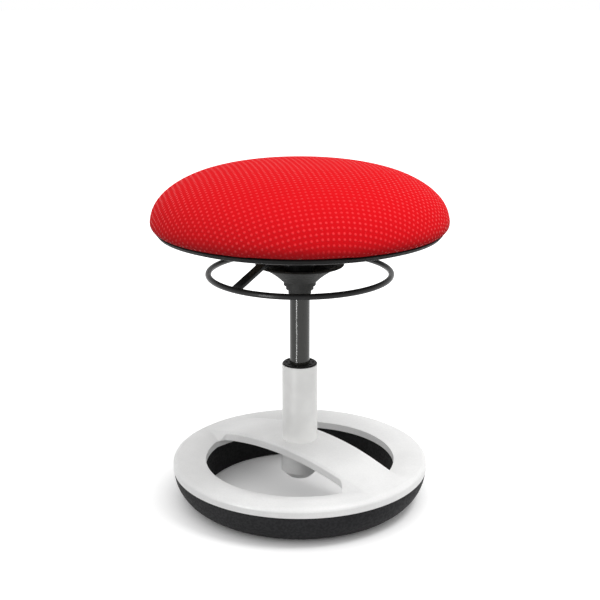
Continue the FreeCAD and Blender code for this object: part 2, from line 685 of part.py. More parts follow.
def hub_solid():
    radius = size("hub_radius")
    bottom = size("hub_bottom")
    chamfer = size("hub_chamfer")
    top = size("bridge_peak - bridge_thickness / 2")
    corners = ((0, bottom), (radius - chamfer, bottom), (radius, bottom + chamfer), (radius, top), (0, top))
    return revolved(corners)


def hub_bore():
    """Service hole, hollow floor and the tapered seat of the column."""
    bottom = size("hub_bottom")
    floor = size("hub_bottom + hub_floor")
    seat = size("column_seat")
    gap = size("fit_gap")
    ledge = size("column_end_radius") - 2.2
    cone_foot = ledge - (seat - floor)
    corners = (
        (0, bottom - 1),
        (size("hub_hole"), bottom - 1),
        (size("hub_hole"), floor),
        (cone_foot, floor),
        (ledge, seat),
        (size("column_end_radius") + gap, seat),
        (size("column_radius") + gap, size("bridge_peak")),
        (size("column_radius") + gap, size("bridge_peak") + 20),
        (0, size("bridge_peak") + 20),
    )
    return revolved(corners)


def ring_channel():
    """Hollow underside of the ring between its two walls."""
    low = size("parting_height") - 5
    inner = size("opening_radius + cover_wall")
    outer = size("base_radius - cover_wall")
    roof = size("crest_height - cover_wall")
    step = size("inner_fall")
    shoulder = size("parting_height + side_height") - size("shoulder_radius")
    return revolved(((inner, low), (outer, low), (outer, shoulder), (outer - 6, roof - 1),
                     (size("crest_radius"), roof), (inner + 8, roof - step / 2), (inner, roof - step)))


def build_base_cover():
    """The white cover: a crowned ring, an arched bridge that grows out of it, and the hub."""
    angle = size("bridge_angle")
    blank = sculpted_top().extrude(Vector(0, 0, -size("bridge_peak")))
    cover = blank.common(cover_envelope())
    under = arch_prism(size("bridge_thickness"), size("opening_radius") - 8, 70, -10)
    inside_ring = Part.makeCylinder(size("opening_radius"), 200, Vector(0, 0, -20))
    cover = cover.cut(under.common(inside_ring))
    cover = cover.cut([opening_prism(-1), opening_prism(1)])
    screw_gap = size("base_screw_radius + fit_gap")
    bosses = []
    pilots = []
    for index, x_text, y_text in round_places("base_screw_circle", "base_screw_count", BASE_SCREW_START):
        place = Rotation(Vector(0, 0, 1), -angle).multVec(Vector(size(x_text), size(y_text), 0))
        boss_low = Vector(place.x, place.y, size("parting_height"))
        bosses.append(Part.makeCylinder(size("boss_radius"), size("base_screw_depth"), boss_low))
        pilots.append(Part.makeCylinder(screw_gap, size("base_screw_depth + 1"), boss_low))
    channel = ring_channel().cut(bosses)
    cells = bridge_cells(size("cover_wall"), size("parting_height") - 5)
    cover = cover.cut([channel] + cells)
    cover = cover.fuse(hub_solid())
    cover = cover.cut([hub_bore()] + pilots)
    piece = doc.addObject("Part::Feature", "base_cover")
    piece.Shape = cover.removeSplitter() if len(cover.Solids) == 1 else cover
    return node(turned_by(piece, "bridge_angle"), "base_cover")


def build_base_screws():
    """Screws from below, through the rocker's bosses into the cover's."""
    screws = []
    for index, x_text, y_text in round_places("base_screw_circle", "base_screw_count", BASE_SCREW_START):
        head = cylinder("base_screw_head_%d" % index, "base_screw_head", "base_screw_head_height", x_text, y_text,
                        "counterbore_top - base_screw_head_height")
        shank = cylinder("base_screw_shank_%d" % index, "base_screw_radius",
                         "parting_height + base_screw_depth - counterbore_top + base_screw_head_height", x_text, y_text,
                         "counterbore_top - base_screw_head_height")
        screws.append(fused("base_screw_%d" % index, [head, shank]))
    return group("base_screws", screws)


# Column, its guide bush and the bearing that the seat turns on

def build_column():
    tube = turned_body("column_tube", (
        ("column_lip", "column_seat"),
        ("column_end_radius", "column_seat"),
        ("column_radius", "bridge_peak"),
        ("column_radius", "column_top"),
        ("column_bore", "column_top"),
        ("column_bore", "floor_low"),
        ("column_lip", "floor_low"),
    ))
    node(tube, "column_tube")
    node(tube_body("column_floor", "journal_radius + soft_gap", "column_bore - fit_gap", "floor_low", "floor_top"),
         "column_floor")


def build_guide_bush():
    """Plastic bush in the column's mouth, with a flange on its rim and a ring of vent holes."""
    body = turned_body("guide_bush", (
        ("tube_radius + fit_gap", "column_top - bush_length"),
        ("column_bore - fit_gap", "column_top - bush_length"),
        ("column_bore - fit_gap", "column_top"),
        ("bush_flange_radius", "column_top"),
        ("bush_flange_radius", "column_top + bush_flange - 0.6"),
        ("bush_flange_radius - 0.6", "column_top + bush_flange"),
        ("tube_radius + fit_gap", "column_top + bush_flange"),
    ))
    holes = sketch_on(body, "XY_Plane", "vent_circle", "column_top + bush_flange - bush_hole_depth")
    circle(holes, "bush_hole_circle", "0", "bush_hole_radius")
    hole = pocketed(body, "vent", holes, "bush_hole_depth + 1")
    repeated(body, "vents", [hole], holes, "bush_hole_count")
    return node(body, "guide_bush")


def build_bearing():
    node(tube_body("bearing_lower_race", "journal_radius + soft_gap", "race_outer", "floor_top",
                   "lower_race_top"), "bearing_lower_race")
    node(tube_body("bearing_upper_race", "journal_radius + fit_gap", "race_outer", "upper_race_low", "rod_shoulder"),
         "bearing_upper_race")
    balls = []
    for index, x_text, y_text in round_places("ball_circle", "ball_count", 0):
        ball = doc.addObject("Part::Sphere", "ball_%d" % index)
        bind(ball, "Radius", "ball_radius")
        bind(ball, "Placement.Base.x", x_text)
        bind(ball, "Placement.Base.y", y_text)
        bind(ball, "Placement.Base.z", "ball_level")
        balls.append(ball)
    group("bearing_balls", balls)
    cage = tube_body("bearing_cage", "ball_circle - ball_radius - soft_gap", "ball_circle + ball_radius + soft_gap",
                     "ball_level - cage_thickness / 2", "ball_level + cage_thickness / 2")
    holes = sketch_on(cage, "XY_Plane", "cage_circle", "ball_level - cage_thickness")
    circle(holes, "ball_circle", "0", "ball_radius + fit_gap")
    hole = pocketed(cage, "cage_hole", holes, "2 * cage_thickness")
    repeated(cage, "cage_holes", [hole], holes, "ball_count")
    node(cage, "bearing_cage")


# Piston rod, which turns with the seat but keeps its level

def build_rod():
    groove = "journal_radius - clip_groove"
    rod = turned_body("piston_rod", (
        ("0", "clip_low - rod_tail"),
        ("journal_radius - 0.8", "clip_low - rod_tail"),
        ("journal_radius", "clip_low - rod_tail + 0.8"),
        ("journal_radius", "clip_low"),
        (groove, "clip_low"),
        (groove, "clip_top"),
        ("journal_radius", "clip_top"),
        ("journal_radius", "rod_shoulder"),
        ("rod_radius", "rod_shoulder"),
        ("rod_radius", "piston_low"),
        ("piston_tail_radius", "piston_low"),
        ("piston_tail_radius", "piston_top + nut_height + 1"),
        ("0", "piston_top + nut_height + 1"),
    ))
    node(rod, "piston_rod")
    node(tube_body("rod_washer", "journal_radius + fit_gap", "washer_radius", "clip_top",
                   "washer_top"), "rod_washer")
    clip = tube_body("retaining_clip", groove + " + fit_gap", "clip_radius", "clip_low", "clip_top")
    mouth = sketch_on(clip, "XY_Plane", "clip_mouth_outline", "clip_low - 1")
    rectangle(mouth, "0", "0 - " + groove, "clip_radius + 1", groove)
    pocketed(clip, "clip_mouth", mouth, "clip_thickness + 2")
    node(clip, "retaining_clip")
    node(tube_body("rubber_buffer", "rod_radius + fit_gap", "buffer_radius", "rod_shoulder",
                   "rod_shoulder + buffer_height"), "rubber_buffer")


def build_piston():
    outer = "tube_bore - 2 * fit_gap"
    body = tube_body("piston", "piston_tail_radius + fit_gap", outer, "piston_low", "piston_top")
    grooved(body, "piston_ring_groove", (
        (outer + " - piston_ring_depth", "ring_groove_low"),
        (outer + " + 1", "ring_groove_low"),
        (outer + " + 1", "ring_groove_top"),
        (outer + " - piston_ring_depth", "ring_groove_top"),
    ))
    node(body, "piston")
    node(tube_body("piston_ring", outer + " - piston_ring_depth + fit_gap", "tube_bore - fit_gap",
                   "ring_groove_low + fit_gap", "ring_groove_top - fit_gap"), "piston_ring")
    nut = hexagon("piston_nut_blank", "nut_radius", "nut_height", "0", "0", "piston_top")
    bore = cylinder("piston_nut_bore", "piston_tail_radius + fit_gap", "nut_height + 2", "0", "0", "piston_top - 1")
    node(cut("piston_nut", nut, bore), "piston_nut")


# Gas spring tube and what it holds

def build_gas_spring():
    tube = turned_body("gas_spring_tube", (
        ("tube_lip_bore", "tube_low"),
        ("tube_radius - 0.8", "tube_low"),
        ("tube_radius", "tube_low + 0.8"),
        ("tube_radius", "taper_start"),
        ("taper_end_radius", "tube_top - 0.8"),
        ("taper_end_radius - 0.8", "tube_top"),
        ("tube_lip_bore", "tube_top"),
        ("tube_lip_bore", "tube_top - tube_lip"),
        ("tube_bore", "tube_top - tube_lip"),
        ("tube_bore", "tube_low + tube_lip"),
        ("tube_lip_bore", "tube_low + tube_lip"),
    ))
    node(tube, "gas_spring_tube")
    node(tube_body("rod_guide", "rod_radius + fit_gap", "tube_bore - fit_gap", "tube_low + tube_lip", "guide_top"),
         "rod_guide")
    seal = turned_body("rod_seal", (
        ("rod_radius + fit_gap", "guide_top"),
        ("tube_bore - fit_gap", "guide_top"),
        ("tube_bore - fit_gap", "guide_top + rod_seal_length / 2"),
        ("seal_lip", "seal_top"),
        ("rod_radius + fit_gap", "seal_top"),
    ))
    node(seal, "rod_seal")
    valve = turned_body("valve_body", (
        ("0", "tube_top - tube_lip - valve_length"),
        ("tube_bore - fit_gap", "tube_top - tube_lip - valve_length"),
        ("tube_bore - fit_gap", "tube_top - tube_lip"),
        ("pin_radius + fit_gap", "tube_top - tube_lip"),
        ("pin_radius + fit_gap", "pin_low - pin_well"),
        ("0", "pin_low - pin_well"),
    ))
    node(valve, "valve_body")


def build_release_pin():
    """Pin in the valve, with a domed end under the yoke."""
    dome_radius = "((pin_radius ^ 2 + pin_dome ^ 2) / (2 * pin_dome))"
    body = turned_body("release_pin", (
        ("0", "pin_low"),
        ("pin_radius", "pin_low"),
        ("pin_radius", "pin_top - pin_dome", dome_radius),
        ("0", "pin_top"),
    ))
    return node(body, "release_pin")


# Mechanism under the seat

TAPER_SLOPE = "(tube_radius - taper_end_radius) / (tube_top - 0.8 - taper_start)"


def build_taper_socket():
    """Socket that the gas spring's tapered end sits in, with a collar for the shroud."""
    stub_top = "housing_floor + sheet + cone_stub"
    body = turned_body("taper_socket", (
        ("tube_radius + fit_gap", "taper_start"),
        ("cone_collar_radius", "taper_start"),
        ("cone_collar_radius", "taper_start + cone_collar"),
        ("cone_radius", "taper_start + cone_collar"),
        ("cone_radius", "housing_floor - sheet"),
        ("cone_flange_radius", "housing_floor - sheet"),
        ("cone_flange_radius", "housing_floor"),
        ("cone_radius", "housing_floor"),
        ("cone_radius", stub_top),
        ("tube_radius + fit_gap - (" + stub_top + " - taper_start) * " + TAPER_SLOPE, stub_top),
    ))
    return node(body, "taper_socket")


def build_housing():
    """Folded steel channel, open along the arms, with flanges bolted to the seat board."""
    body = doc.addObject("PartDesign::Body", "mechanism_housing")
    section = sketch_on(body, "YZ_Plane", "housing_section")
    half = "housing_half_width"
    reach = "housing_half_width + flange_width"
    outline(section, (
        ("0 - " + half, "housing_floor"),
        (half, "housing_floor"),
        (half, "board_bottom - sheet"),
        (reach, "board_bottom - sheet"),
        (reach, "board_bottom"),
        (half + " - sheet", "board_bottom"),
        (half + " - sheet", "housing_floor + sheet"),
        ("0 - " + half + " + sheet", "housing_floor + sheet"),
        ("0 - " + half + " + sheet", "board_bottom"),
        ("0 - (" + reach + ")", "board_bottom"),
        ("0 - (" + reach + ")", "board_bottom - sheet"),
        ("0 - " + half, "board_bottom - sheet"),
    ))
    padded(body, "housing_channel", section, "2 * housing_half_length", symmetric=True)
    holes = sketch_on(body, "XY_Plane", "housing_holes", "housing_floor - 1")
    circle(holes, "0", "0", "cone_radius + fit_gap")
    for x_sign in ("", "0 - "):
        for y_sign in ("", "0 - "):
            circle(holes, x_sign + "seat_bolt_x", y_sign + "seat_bolt_y", "seat_bolt_radius + soft_gap")
    pocketed(body, "housing_drilling", holes, "housing_height + 2")
    pivots = sketch_on(body, "XZ_Plane", "pivot_holes")
    circle(pivots, "pivot_offset", "pivot_level", "pivot_radius + fit_gap")
    drilling = body.newObject("PartDesign::Pocket", "pivot_drilling")
    drilling.Profile = pivots
    drilling.SideType = "Symmetric"
    bind(drilling, "Length", "2 * housing_half_width + 4")
    return node(turned_by(body, "lever_angle"), "mechanism_housing")


def build_pivot_pin():
    """Headed pin across the housing, which the yoke's barrel turns on."""
    body = doc.addObject("PartDesign::Body", "pivot_pin")
    round_end = sketch_on(body, "XZ_Plane", "pivot_circle")
    circle(round_end, "pivot_offset", "pivot_level", "pivot_radius")
    padded(body, "pivot_shank", round_end, "2 * (housing_half_width + pivot_head_height)", symmetric=True)
    for name, sign in (("near", "0 - "), ("far", "")):
        level = sign + "(housing_half_width + fit_gap + pivot_head_height / 2)"
        head = sketch_on(body, "XZ_Plane", "pivot_head_" + name, level)
        circle(head, "pivot_offset", "pivot_level", "pivot_head")
        padded(body, "pivot_head_pad_" + name, head, "pivot_head_height", symmetric=True)
    return node(turned_by(body, "lever_angle"), "pivot_pin")


def build_yoke():
    """Rocking plate over the release pin, with a barrel round the pivot."""
    body = doc.addObject("PartDesign::Body", "release_yoke")
    plan = sketch_on(body, "XY_Plane", "yoke_plan", "yoke_low")
    rectangle(plan, "0 - yoke_half_length", "0 - yoke_half_width", "yoke_half_length", "yoke_half_width")
    padded(body, "yoke_plate", plan, "sheet")
    barrel = sketch_on(body, "XZ_Plane", "barrel_circle")
    circle(barrel, "pivot_offset", "pivot_level", "barrel_radius")
    padded(body, "barrel", barrel, "2 * yoke_half_width", symmetric=True)
    bore = sketch_on(body, "XZ_Plane", "bore_circle")
    circle(bore, "pivot_offset", "pivot_level", "pivot_radius + fit_gap")
    boring = body.newObject("PartDesign::Pocket", "barrel_bore")
    boring.Profile = bore
    boring.SideType = "Symmetric"
    bind(boring, "Length", "2 * yoke_half_width + 2")
    return node(turned_by(body, "lever_angle"), "release_yoke")


def ring_torus(name, wire_text):
    torus = doc.addObject("Part::Torus", name)
    bind(torus, "Radius1", "ring_radius")
    bind(torus, "Radius2", wire_text)
    bind(torus, "Placement.Base.z", "ring_height")
    return torus


def build_arm(label, mirrored):
    """Flat arm from the yoke's end straight down to the ring, where its end is saddled."""
    slope = "((pivot_level - ring_height) / (ring_radius - arm_bend))"
    tilt = "(sheet / 2 * (1 + " + slope + " ^ 2) ^ 0.5)"
    sign = "0 - " if mirrored else ""
    body = doc.addObject("PartDesign::Body", label + "_strip")
    side = sketch_on(body, "XZ_Plane", label + "_side")
    outline(side, (
        (sign + "yoke_half_length", "yoke_low"),
        (sign + "arm_bend", "yoke_low"),
        (sign + "ring_radius", "ring_height - " + tilt),
        (sign + "ring_radius", "ring_height + " + tilt),
        (sign + "arm_bend", "yoke_top"),
        (sign + "yoke_half_length", "yoke_top"),
    ))
    padded(body, label + "_pad", side, "arm_width", symmetric=True)
    arm = cut(label, body, ring_torus(label + "_saddle", "ring_wire + fit_gap"))
    return node(turned_by(arm, "lever_angle"), label)


def build_lever():
    node(ring_torus("lever_ring", "ring_wire"), "lever_ring")
    build_arm("lever_arm_front", mirrored=False)
    build_arm("lever_arm_rear", mirrored=True)


def shroud_corners(inset):
    """Outer steps of the shroud as (radius, level), drawn in by an inset."""
    corners = []
    radius = size("shroud_neck")
    level = size("shroud_bottom")
    for index in range(int(size("neck_rings"))):
        corners.append((radius - inset, level))
        level += size("neck_ring")
        corners.append((radius - inset, level))
        radius += size("neck_step")
    start = size("shroud_cone_start")
    count = int(size("cone_steps"))
    rise = (size("shroud_top") - level) / count
    reach = (size("shroud_rim") - start) / count
    for index in range(count):
        bow = 1 - 0.35 * (1 - index / count)
        corners.append((start + reach * index * bow - inset, level + rise * index + 0.4))
        corners.append((start + reach * (index + 0.8) * bow - inset, level + rise * (index + 0.85)))
    corners.append((size("shroud_rim") - inset, size("shroud_top") - 1.2))
    corners.append((size("shroud_rim") - inset, size("shroud_top")))
    return corners


def build_shroud():
    """Stepped trumpet of black plastic, carried on the socket's collar."""
    wall = size("shroud_wall")
    outer = shroud_corners(0)
    inner = [(max(radius - wall, size("tube_radius + soft_gap + 0.1")), level + 1.4) for radius, level in outer[:-1]]
    inner[0] = (inner[0][0], outer[0][1])
    inner.append((outer[-1][0] - wall, outer[-1][1]))
    shell = revolved(outer + inner[::-1])
    web_low = size("taper_start + cone_collar")
    web_radius = size("cone_collar_radius + soft_gap")
    web = revolved(((size("cone_radius + fit_gap"), web_low), (web_radius + 5, web_low),
                    (web_radius + 5, web_low + wall), (size("cone_radius + fit_gap"), web_low + wall)))
    piece = doc.addObject("Part::Feature", "bellows_shroud")
    piece.Shape = shell.fuse(web).removeSplitter()
    return node(piece, "bellows_shroud")


# Seat

BOLT_SIGNS = (("", ""), ("0 - ", ""), ("", "0 - "), ("0 - ", "0 - "))


def build_seat_board():
    """Round plywood board with stepped holes for the T-nuts."""
    body = turned_body("seat_board", (
        ("0", "board_bottom"),
        ("board_radius - 1.5", "board_bottom"),
        ("board_radius", "board_bottom + 1.5"),
        ("board_radius", "board_top - 3", "3"),
        ("board_radius - 3", "board_top"),
        ("0", "board_top"),
    ))
    barrels = sketch_on(body, "XY_Plane", "board_holes", "board_bottom - 1")
    sinks = sketch_on(body, "XY_Plane", "board_sinks", "board_top - t_nut_plate - fit_gap")
    for x_sign, y_sign in BOLT_SIGNS:
        circle(barrels, x_sign + "seat_bolt_x", y_sign + "seat_bolt_y", "t_nut_radius + fit_gap")
        circle(sinks, x_sign + "seat_bolt_x", y_sign + "seat_bolt_y", "t_nut_flange + fit_gap")
    for index, x_text, y_text in round_places("shell_screw_circle", "shell_screw_count", 0):
        circle(barrels, x_text, y_text, "shell_screw_radius + fit_gap")
    pocketed(body, "board_drilling", barrels, "board_thickness + 2")
    pocketed(body, "board_sinking", sinks, "t_nut_plate + 2")
    return node(turned_by(body, "lever_angle"), "seat_board")


def build_seat_fasteners():
    bolts = []
    nuts = []
    flange_low = "board_bottom - sheet"
    nut_top = "board_top - fit_gap"
    for index, (x_sign, y_sign) in enumerate(BOLT_SIGNS):
        x_text = x_sign + "seat_bolt_x"
        y_text = y_sign + "seat_bolt_y"
        head = hexagon("seat_bolt_head_%d" % index, "seat_bolt_head", "seat_bolt_head_height", x_text, y_text,
                       flange_low + " - seat_bolt_head_height")
        shank = cylinder("seat_bolt_shank_%d" % index, "seat_bolt_radius", "seat_bolt_length", x_text, y_text,
                         flange_low)
        bolts.append(fused("seat_bolt_%d" % index, [head, shank]))
        barrel = cylinder("t_nut_barrel_%d" % index, "t_nut_radius", "t_nut_length", x_text, y_text,
                          nut_top + " - t_nut_length")
        flange = cylinder("t_nut_flange_%d" % index, "t_nut_flange", "t_nut_plate", x_text, y_text,
                          nut_top + " - t_nut_plate")
        bore = cylinder("t_nut_bore_%d" % index, "seat_bolt_radius + fit_gap", "t_nut_length + 2", x_text, y_text,
                        nut_top + " - t_nut_length - 1")
        nuts.append(cut("t_nut_%d" % index, fused("t_nut_blank_%d" % index, [barrel, flange]), bore))
    turned_by(group("seat_bolts", bolts), "lever_angle")
    turned_by(group("t_nuts", nuts), "lever_angle")


def build_seat_shell():
    """Black dish under the seat; its rim is the dark line below the cushion."""
    body = turned_body("seat_shell", (
        ("shell_hole", "board_bottom - shell_wall"),
        ("shell_edge_radius - 9", "board_bottom - shell_wall"),
        ("shell_edge_radius", "board_bottom"),
        ("shell_rim_radius", "shell_rim_height - 1"),
        ("shell_rim_radius - 1", "shell_rim_height"),
        ("shell_rim_radius - shell_rim_width", "shell_rim_height"),
        ("shell_edge_radius - 5", "board_bottom + 2"),
        ("board_radius + fit_gap", "board_bottom"),
        ("shell_hole", "board_bottom"),
    ))
    holes = sketch_on(body, "XY_Plane", "shell_holes", "board_bottom - shell_wall - 1")
    for index, x_text, y_text in round_places("shell_screw_circle", "shell_screw_count", 0):
        circle(holes, x_text, y_text, "shell_screw_radius + soft_gap")
    pocketed(body, "shell_drilling", holes, "shell_wall + 2")
    return node(turned_by(body, "lever_angle"), "seat_shell")


def build_shell_screws():
    screws = []
    shell_low = "board_bottom - shell_wall"
    for index, x_text, y_text in round_places("shell_screw_circle", "shell_screw_count", 0):
        head = cylinder("shell_screw_head_%d" % index, "shell_screw_head", "shell_screw_head_height", x_text, y_text, shell_low + " - shell_screw_head_height")
        shank = cylinder("shell_screw_shank_%d" % index, "shell_screw_radius", "shell_screw_length + shell_screw_head_height", x_text, y_text,
                         shell_low + " - shell_screw_head_height")
        screws.append(fused("shell_screw_%d" % index, [head, shank]))
    turned_by(group("shell_screws", screws), "lever_angle")


def dome_curve(inset, low):
    """Side of the cushion, from a level near the rim up over the widest part to the apex."""
    widest = size("seat_radius") - inset
    waist = size("seat_waist_height")
    rise = size("seat_apex") - inset - waist
    tuck = size("seat_waist_height - shell_rim_height")
    pull = size("seat_radius - shell_rim_radius")
    points = []
    for step in range(5):
        drop = (waist - low) * (1 - step / 5)
        points.append(Vector(widest - pull * (drop / tuck) ** 2, 0, waist - drop))
    for step in range(15):
        share = 1 - (1 - step / 14) ** 1.6
        radius = widest * (1 - share ** size("cushion_power")) ** (1 / size("cushion_fullness")) if share < 1 else 0
        points.append(Vector(radius, 0, waist + rise * share))
    curve = Part.BSplineCurve()
    curve.interpolate(points)
    return curve.toShape()


def build_foam():
    """Domed foam that stands on the board and comes down round its edge."""
    gap = size("soft_gap")
    low = size("shell_rim_height + soft_gap + cover_cloth") + gap
    side = dome_curve(size("cover_cloth") + gap, low)
    start = side.Vertexes[0].Point
    stop = side.Vertexes[-1].Point
    board = size("board_radius") + gap
    seat = size("board_top") + gap
    path = [stop, Vector(0, 0, seat), Vector(board, 0, seat), Vector(board, 0, low), start]
    wire = Part.Wire([side] + [Part.LineSegment(a, b).toShape() for a, b in zip(path, path[1:])])
    piece = doc.addObject("Part::Feature", "seat_foam")
    piece.Shape = Part.Face(wire).revolve(Vector(0, 0, 0), Vector(0, 0, 1), 360)
    return node(piece, "seat_foam")


def build_seat_cover():
    """Cloth skin over the foam, tucked in above the shell's rim."""
    low = size("shell_rim_height + soft_gap")
    cloth = size("cover_cloth")
    outside = dome_curve(0, low)
    inside = dome_curve(cloth, low + cloth)
    outer_start, outer_stop = (outside.Vertexes[0].Point, outside.Vertexes[-1].Point)
    inner_start, inner_stop = (inside.Vertexes[0].Point, inside.Vertexes[-1].Point)
    tuck = size("cover_tuck")
    path = [outer_start, Vector(tuck, 0, low), Vector(tuck, 0, low + cloth), inner_start]
    edges = [Part.LineSegment(a, b).toShape() for a, b in zip(path, path[1:])]
    edges += [inside, Part.LineSegment(inner_stop, outer_stop).toShape(), outside]
    piece = doc.addObject("Part::Feature", "seat_cover")
    piece.Shape = Part.Face(Part.Wire(Part.__sortEdges__(edges))).revolve(Vector(0, 0, 0), Vector(0, 0, 1), 360)
    return node(piece, "seat_cover")


# Build, check and write

def build_stool():
    build_rocker()
    build_base_cover()
    build_base_screws()
    build_column()
    build_guide_bush()
    build_bearing()
    build_rod()
    build_piston()
    build_gas_spring()
    build_release_pin()
    build_taper_socket()
    build_housing()
    build_pivot_pin()
    build_yoke()
    build_lever()
    build_shroud()
    build_seat_board()
    build_seat_fasteners()
    build_seat_shell()
    build_shell_screws()
    build_foam()
    build_seat_cover()


def check_and_write():
    doc.recompute()
    for item in doc.Objects:
        if "Invalid" in item.State or "Error" in item.State:
            raise RuntimeError("%s failed: %s" % (item.Label, item.State))
    for item in NODES:
        if item.Shape.isNull() or not item.Shape.isValid():
            raise RuntimeError("%s has no valid shape" % item.Label)
    os.makedirs("parts", exist_ok=True)
    for item in NODES:
        item.Shape.exportStep(os.path.join("parts", item.Label + ".step"))
        print("%-20s solids %2d  volume %10.1f" % (item.Label, len(item.Shape.Solids), item.Shape.Volume))


build_stool()
check_and_write()
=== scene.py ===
import math

import bmesh
import bpy
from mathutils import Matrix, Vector


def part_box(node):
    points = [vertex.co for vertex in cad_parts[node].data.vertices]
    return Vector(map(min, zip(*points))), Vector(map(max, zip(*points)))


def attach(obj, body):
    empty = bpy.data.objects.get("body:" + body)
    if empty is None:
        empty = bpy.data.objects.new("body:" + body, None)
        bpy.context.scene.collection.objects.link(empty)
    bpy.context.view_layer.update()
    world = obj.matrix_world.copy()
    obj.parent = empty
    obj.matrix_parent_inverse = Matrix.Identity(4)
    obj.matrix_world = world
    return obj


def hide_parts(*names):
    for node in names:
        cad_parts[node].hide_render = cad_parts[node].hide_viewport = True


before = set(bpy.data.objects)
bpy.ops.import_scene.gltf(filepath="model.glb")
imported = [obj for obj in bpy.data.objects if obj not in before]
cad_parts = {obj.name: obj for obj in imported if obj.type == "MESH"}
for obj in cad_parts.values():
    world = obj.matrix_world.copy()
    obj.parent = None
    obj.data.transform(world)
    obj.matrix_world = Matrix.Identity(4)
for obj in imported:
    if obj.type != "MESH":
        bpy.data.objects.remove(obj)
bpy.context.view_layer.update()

bl_info = {
    "name": "Wobble stool",
    "version": (1, 0, 0),
    "blender": (4, 5, 0),
    "location": "View3D > Sidebar > Stool",
    "description": "Finishes, cushion and plain studio for a wobble stool with height adjustment",
    "category": "Object",
}

COVER_LOW, COVER_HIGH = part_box("seat_cover")
FOAM_LOW, FOAM_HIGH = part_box("seat_foam")
BOARD_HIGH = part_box("seat_board")[1]

# Cushion and cover
AXIS_STEPS = 96
COVER_CELL = 0.006
HEM_LAP = 0.0015
HELD_HEM = 0.010
PUCKER_DEPTH = 0.0004
PUCKER_HEIGHT = 0.02
DRAW_FRAMES = 20
AIR_PRESSURE = 9.0
STRETCH_STIFFNESS = 25.0
BEND_STIFFNESS = 4.0

# Lever arms, as in the CAD near the housing
LEVER_ANGLE = -133.0
LEVER_YOKE_END = 0.040
ARM_LEVEL = 0.3665
ARM_WIDTH = 0.0115
SHEET = 0.0030
ARM_BEND = 0.002
ARM_SHARES = (0.02, 0.06, 0.17, 0.20, 0.23, 0.26, 0.29, 0.5, 0.75, 1.0)
ARM_PLAIN_SHARE = 0.17
ARM_GROWTH_SHARE = 0.12
ARM_CORNER = 0.0012

# Finishes
LIGHT_DUST = (0.42, 0.40, 0.37)
RUBBER_DUST = (0.30, 0.29, 0.27)
BARE_EDGE = (0.30, 0.29, 0.28)

# Stage
FLOOR_HALF = 60.0
FLOOR_SHADOW_REACH = 0.16
PHOTO_WIDTH = 600
AXIS_PIXEL = 299.78


# Settings

class SeatSettings(bpy.types.PropertyGroup):
    """Cushion and its dotted cover."""
    cloth_colour: bpy.props.FloatVectorProperty(
        name="Cloth", description="Ground colour of the cover", subtype="COLOR", size=3,
        min=0, max=1, default=(0.78, 0.0055, 0.0105))
    # Partly the dots' own colour and partly painted highlight: the raised dots are drawn lighter and pinker
    # than the ground, as if lit.
    dot_and_highlight_colour: bpy.props.FloatVectorProperty(
        name="Dots", description="Colour of the raised dots", subtype="COLOR", size=3,
        min=0, max=1, default=(0.93, 0.0320, 0.0400))
    # Painted shade: a darker red for the cover's lower side, from just above its widest part down under the
    # rim, where less light reaches.
    underside_shade_colour: bpy.props.FloatVectorProperty(
        name="Hem", description="Darker colour where the cover is drawn under the rim", subtype="COLOR",
        size=3, min=0, max=1, default=(0.38, 0.006, 0.009))
    dot_pitch: bpy.props.FloatProperty(
        name="Dot pitch", description="Distance between the dots", default=0.0074, min=0.004, max=0.02,
        subtype="DISTANCE", unit="LENGTH", precision=4)
    dot_share: bpy.props.FloatProperty(
        name="Dot size", description="Width of a dot as a share of the pitch", default=0.46, min=0.1,
        max=0.9, subtype="FACTOR")
    # Painted highlight: the dots' lighter colour is cut to this share on the crown and shown in full on the
    # sides, following how light falls on the dome; the cloth itself is the same all over.
    crown_dot_highlight: bpy.props.FloatProperty(
        name="Dots on the crown",
        description="How much the dots show on the crown, where sitting flattens them",
        default=0.18, min=0, max=1, subtype="FACTOR")
    row_turn: bpy.props.FloatProperty(
        name="Row turn", description="Turn of the rows from the stool's front", default=math.radians(11),
        subtype="ANGLE")
    waist_level: bpy.props.FloatProperty(
        name="Widest level", description="Level of the cushion's widest part", default=0.3992,
        subtype="DISTANCE", unit="LENGTH", precision=4)
    crown_power: bpy.props.FloatProperty(
        name="Crown", description="How flat the crown is", default=2.2, min=1, max=4)
    crown_fullness: bpy.props.FloatProperty(
        name="Shoulder", description="How full the crown's shoulder is", default=2.42, min=1, max=4)
    tuck_pull: bpy.props.FloatProperty(
        name="Tuck", description="How far the side comes in below the widest part", default=0.0067,
        subtype="DISTANCE", unit="LENGTH", precision=4)
    cloth_thickness: bpy.props.FloatProperty(
        name="Cloth thickness", description="Thickness of the cover", default=0.0012, min=0.0005,
        max=0.003, subtype="DISTANCE", unit="LENGTH", precision=4)
    swell: bpy.props.FloatProperty(
        name="Swell", description="How far the cover swells over the foam while it is drawn on",
        default=0.003, min=0.0, max=0.01, subtype="DISTANCE", unit="LENGTH", precision=4)
    give: bpy.props.FloatProperty(
        name="Give", description="How far the cover may sink into the foam", default=0.0007,
        min=0.0001, max=0.004, subtype="DISTANCE", unit="LENGTH", precision=4)
    staples: bpy.props.IntProperty(
        name="Staples", description="Staples that hold the hem to the board", default=36, min=8, max=90)


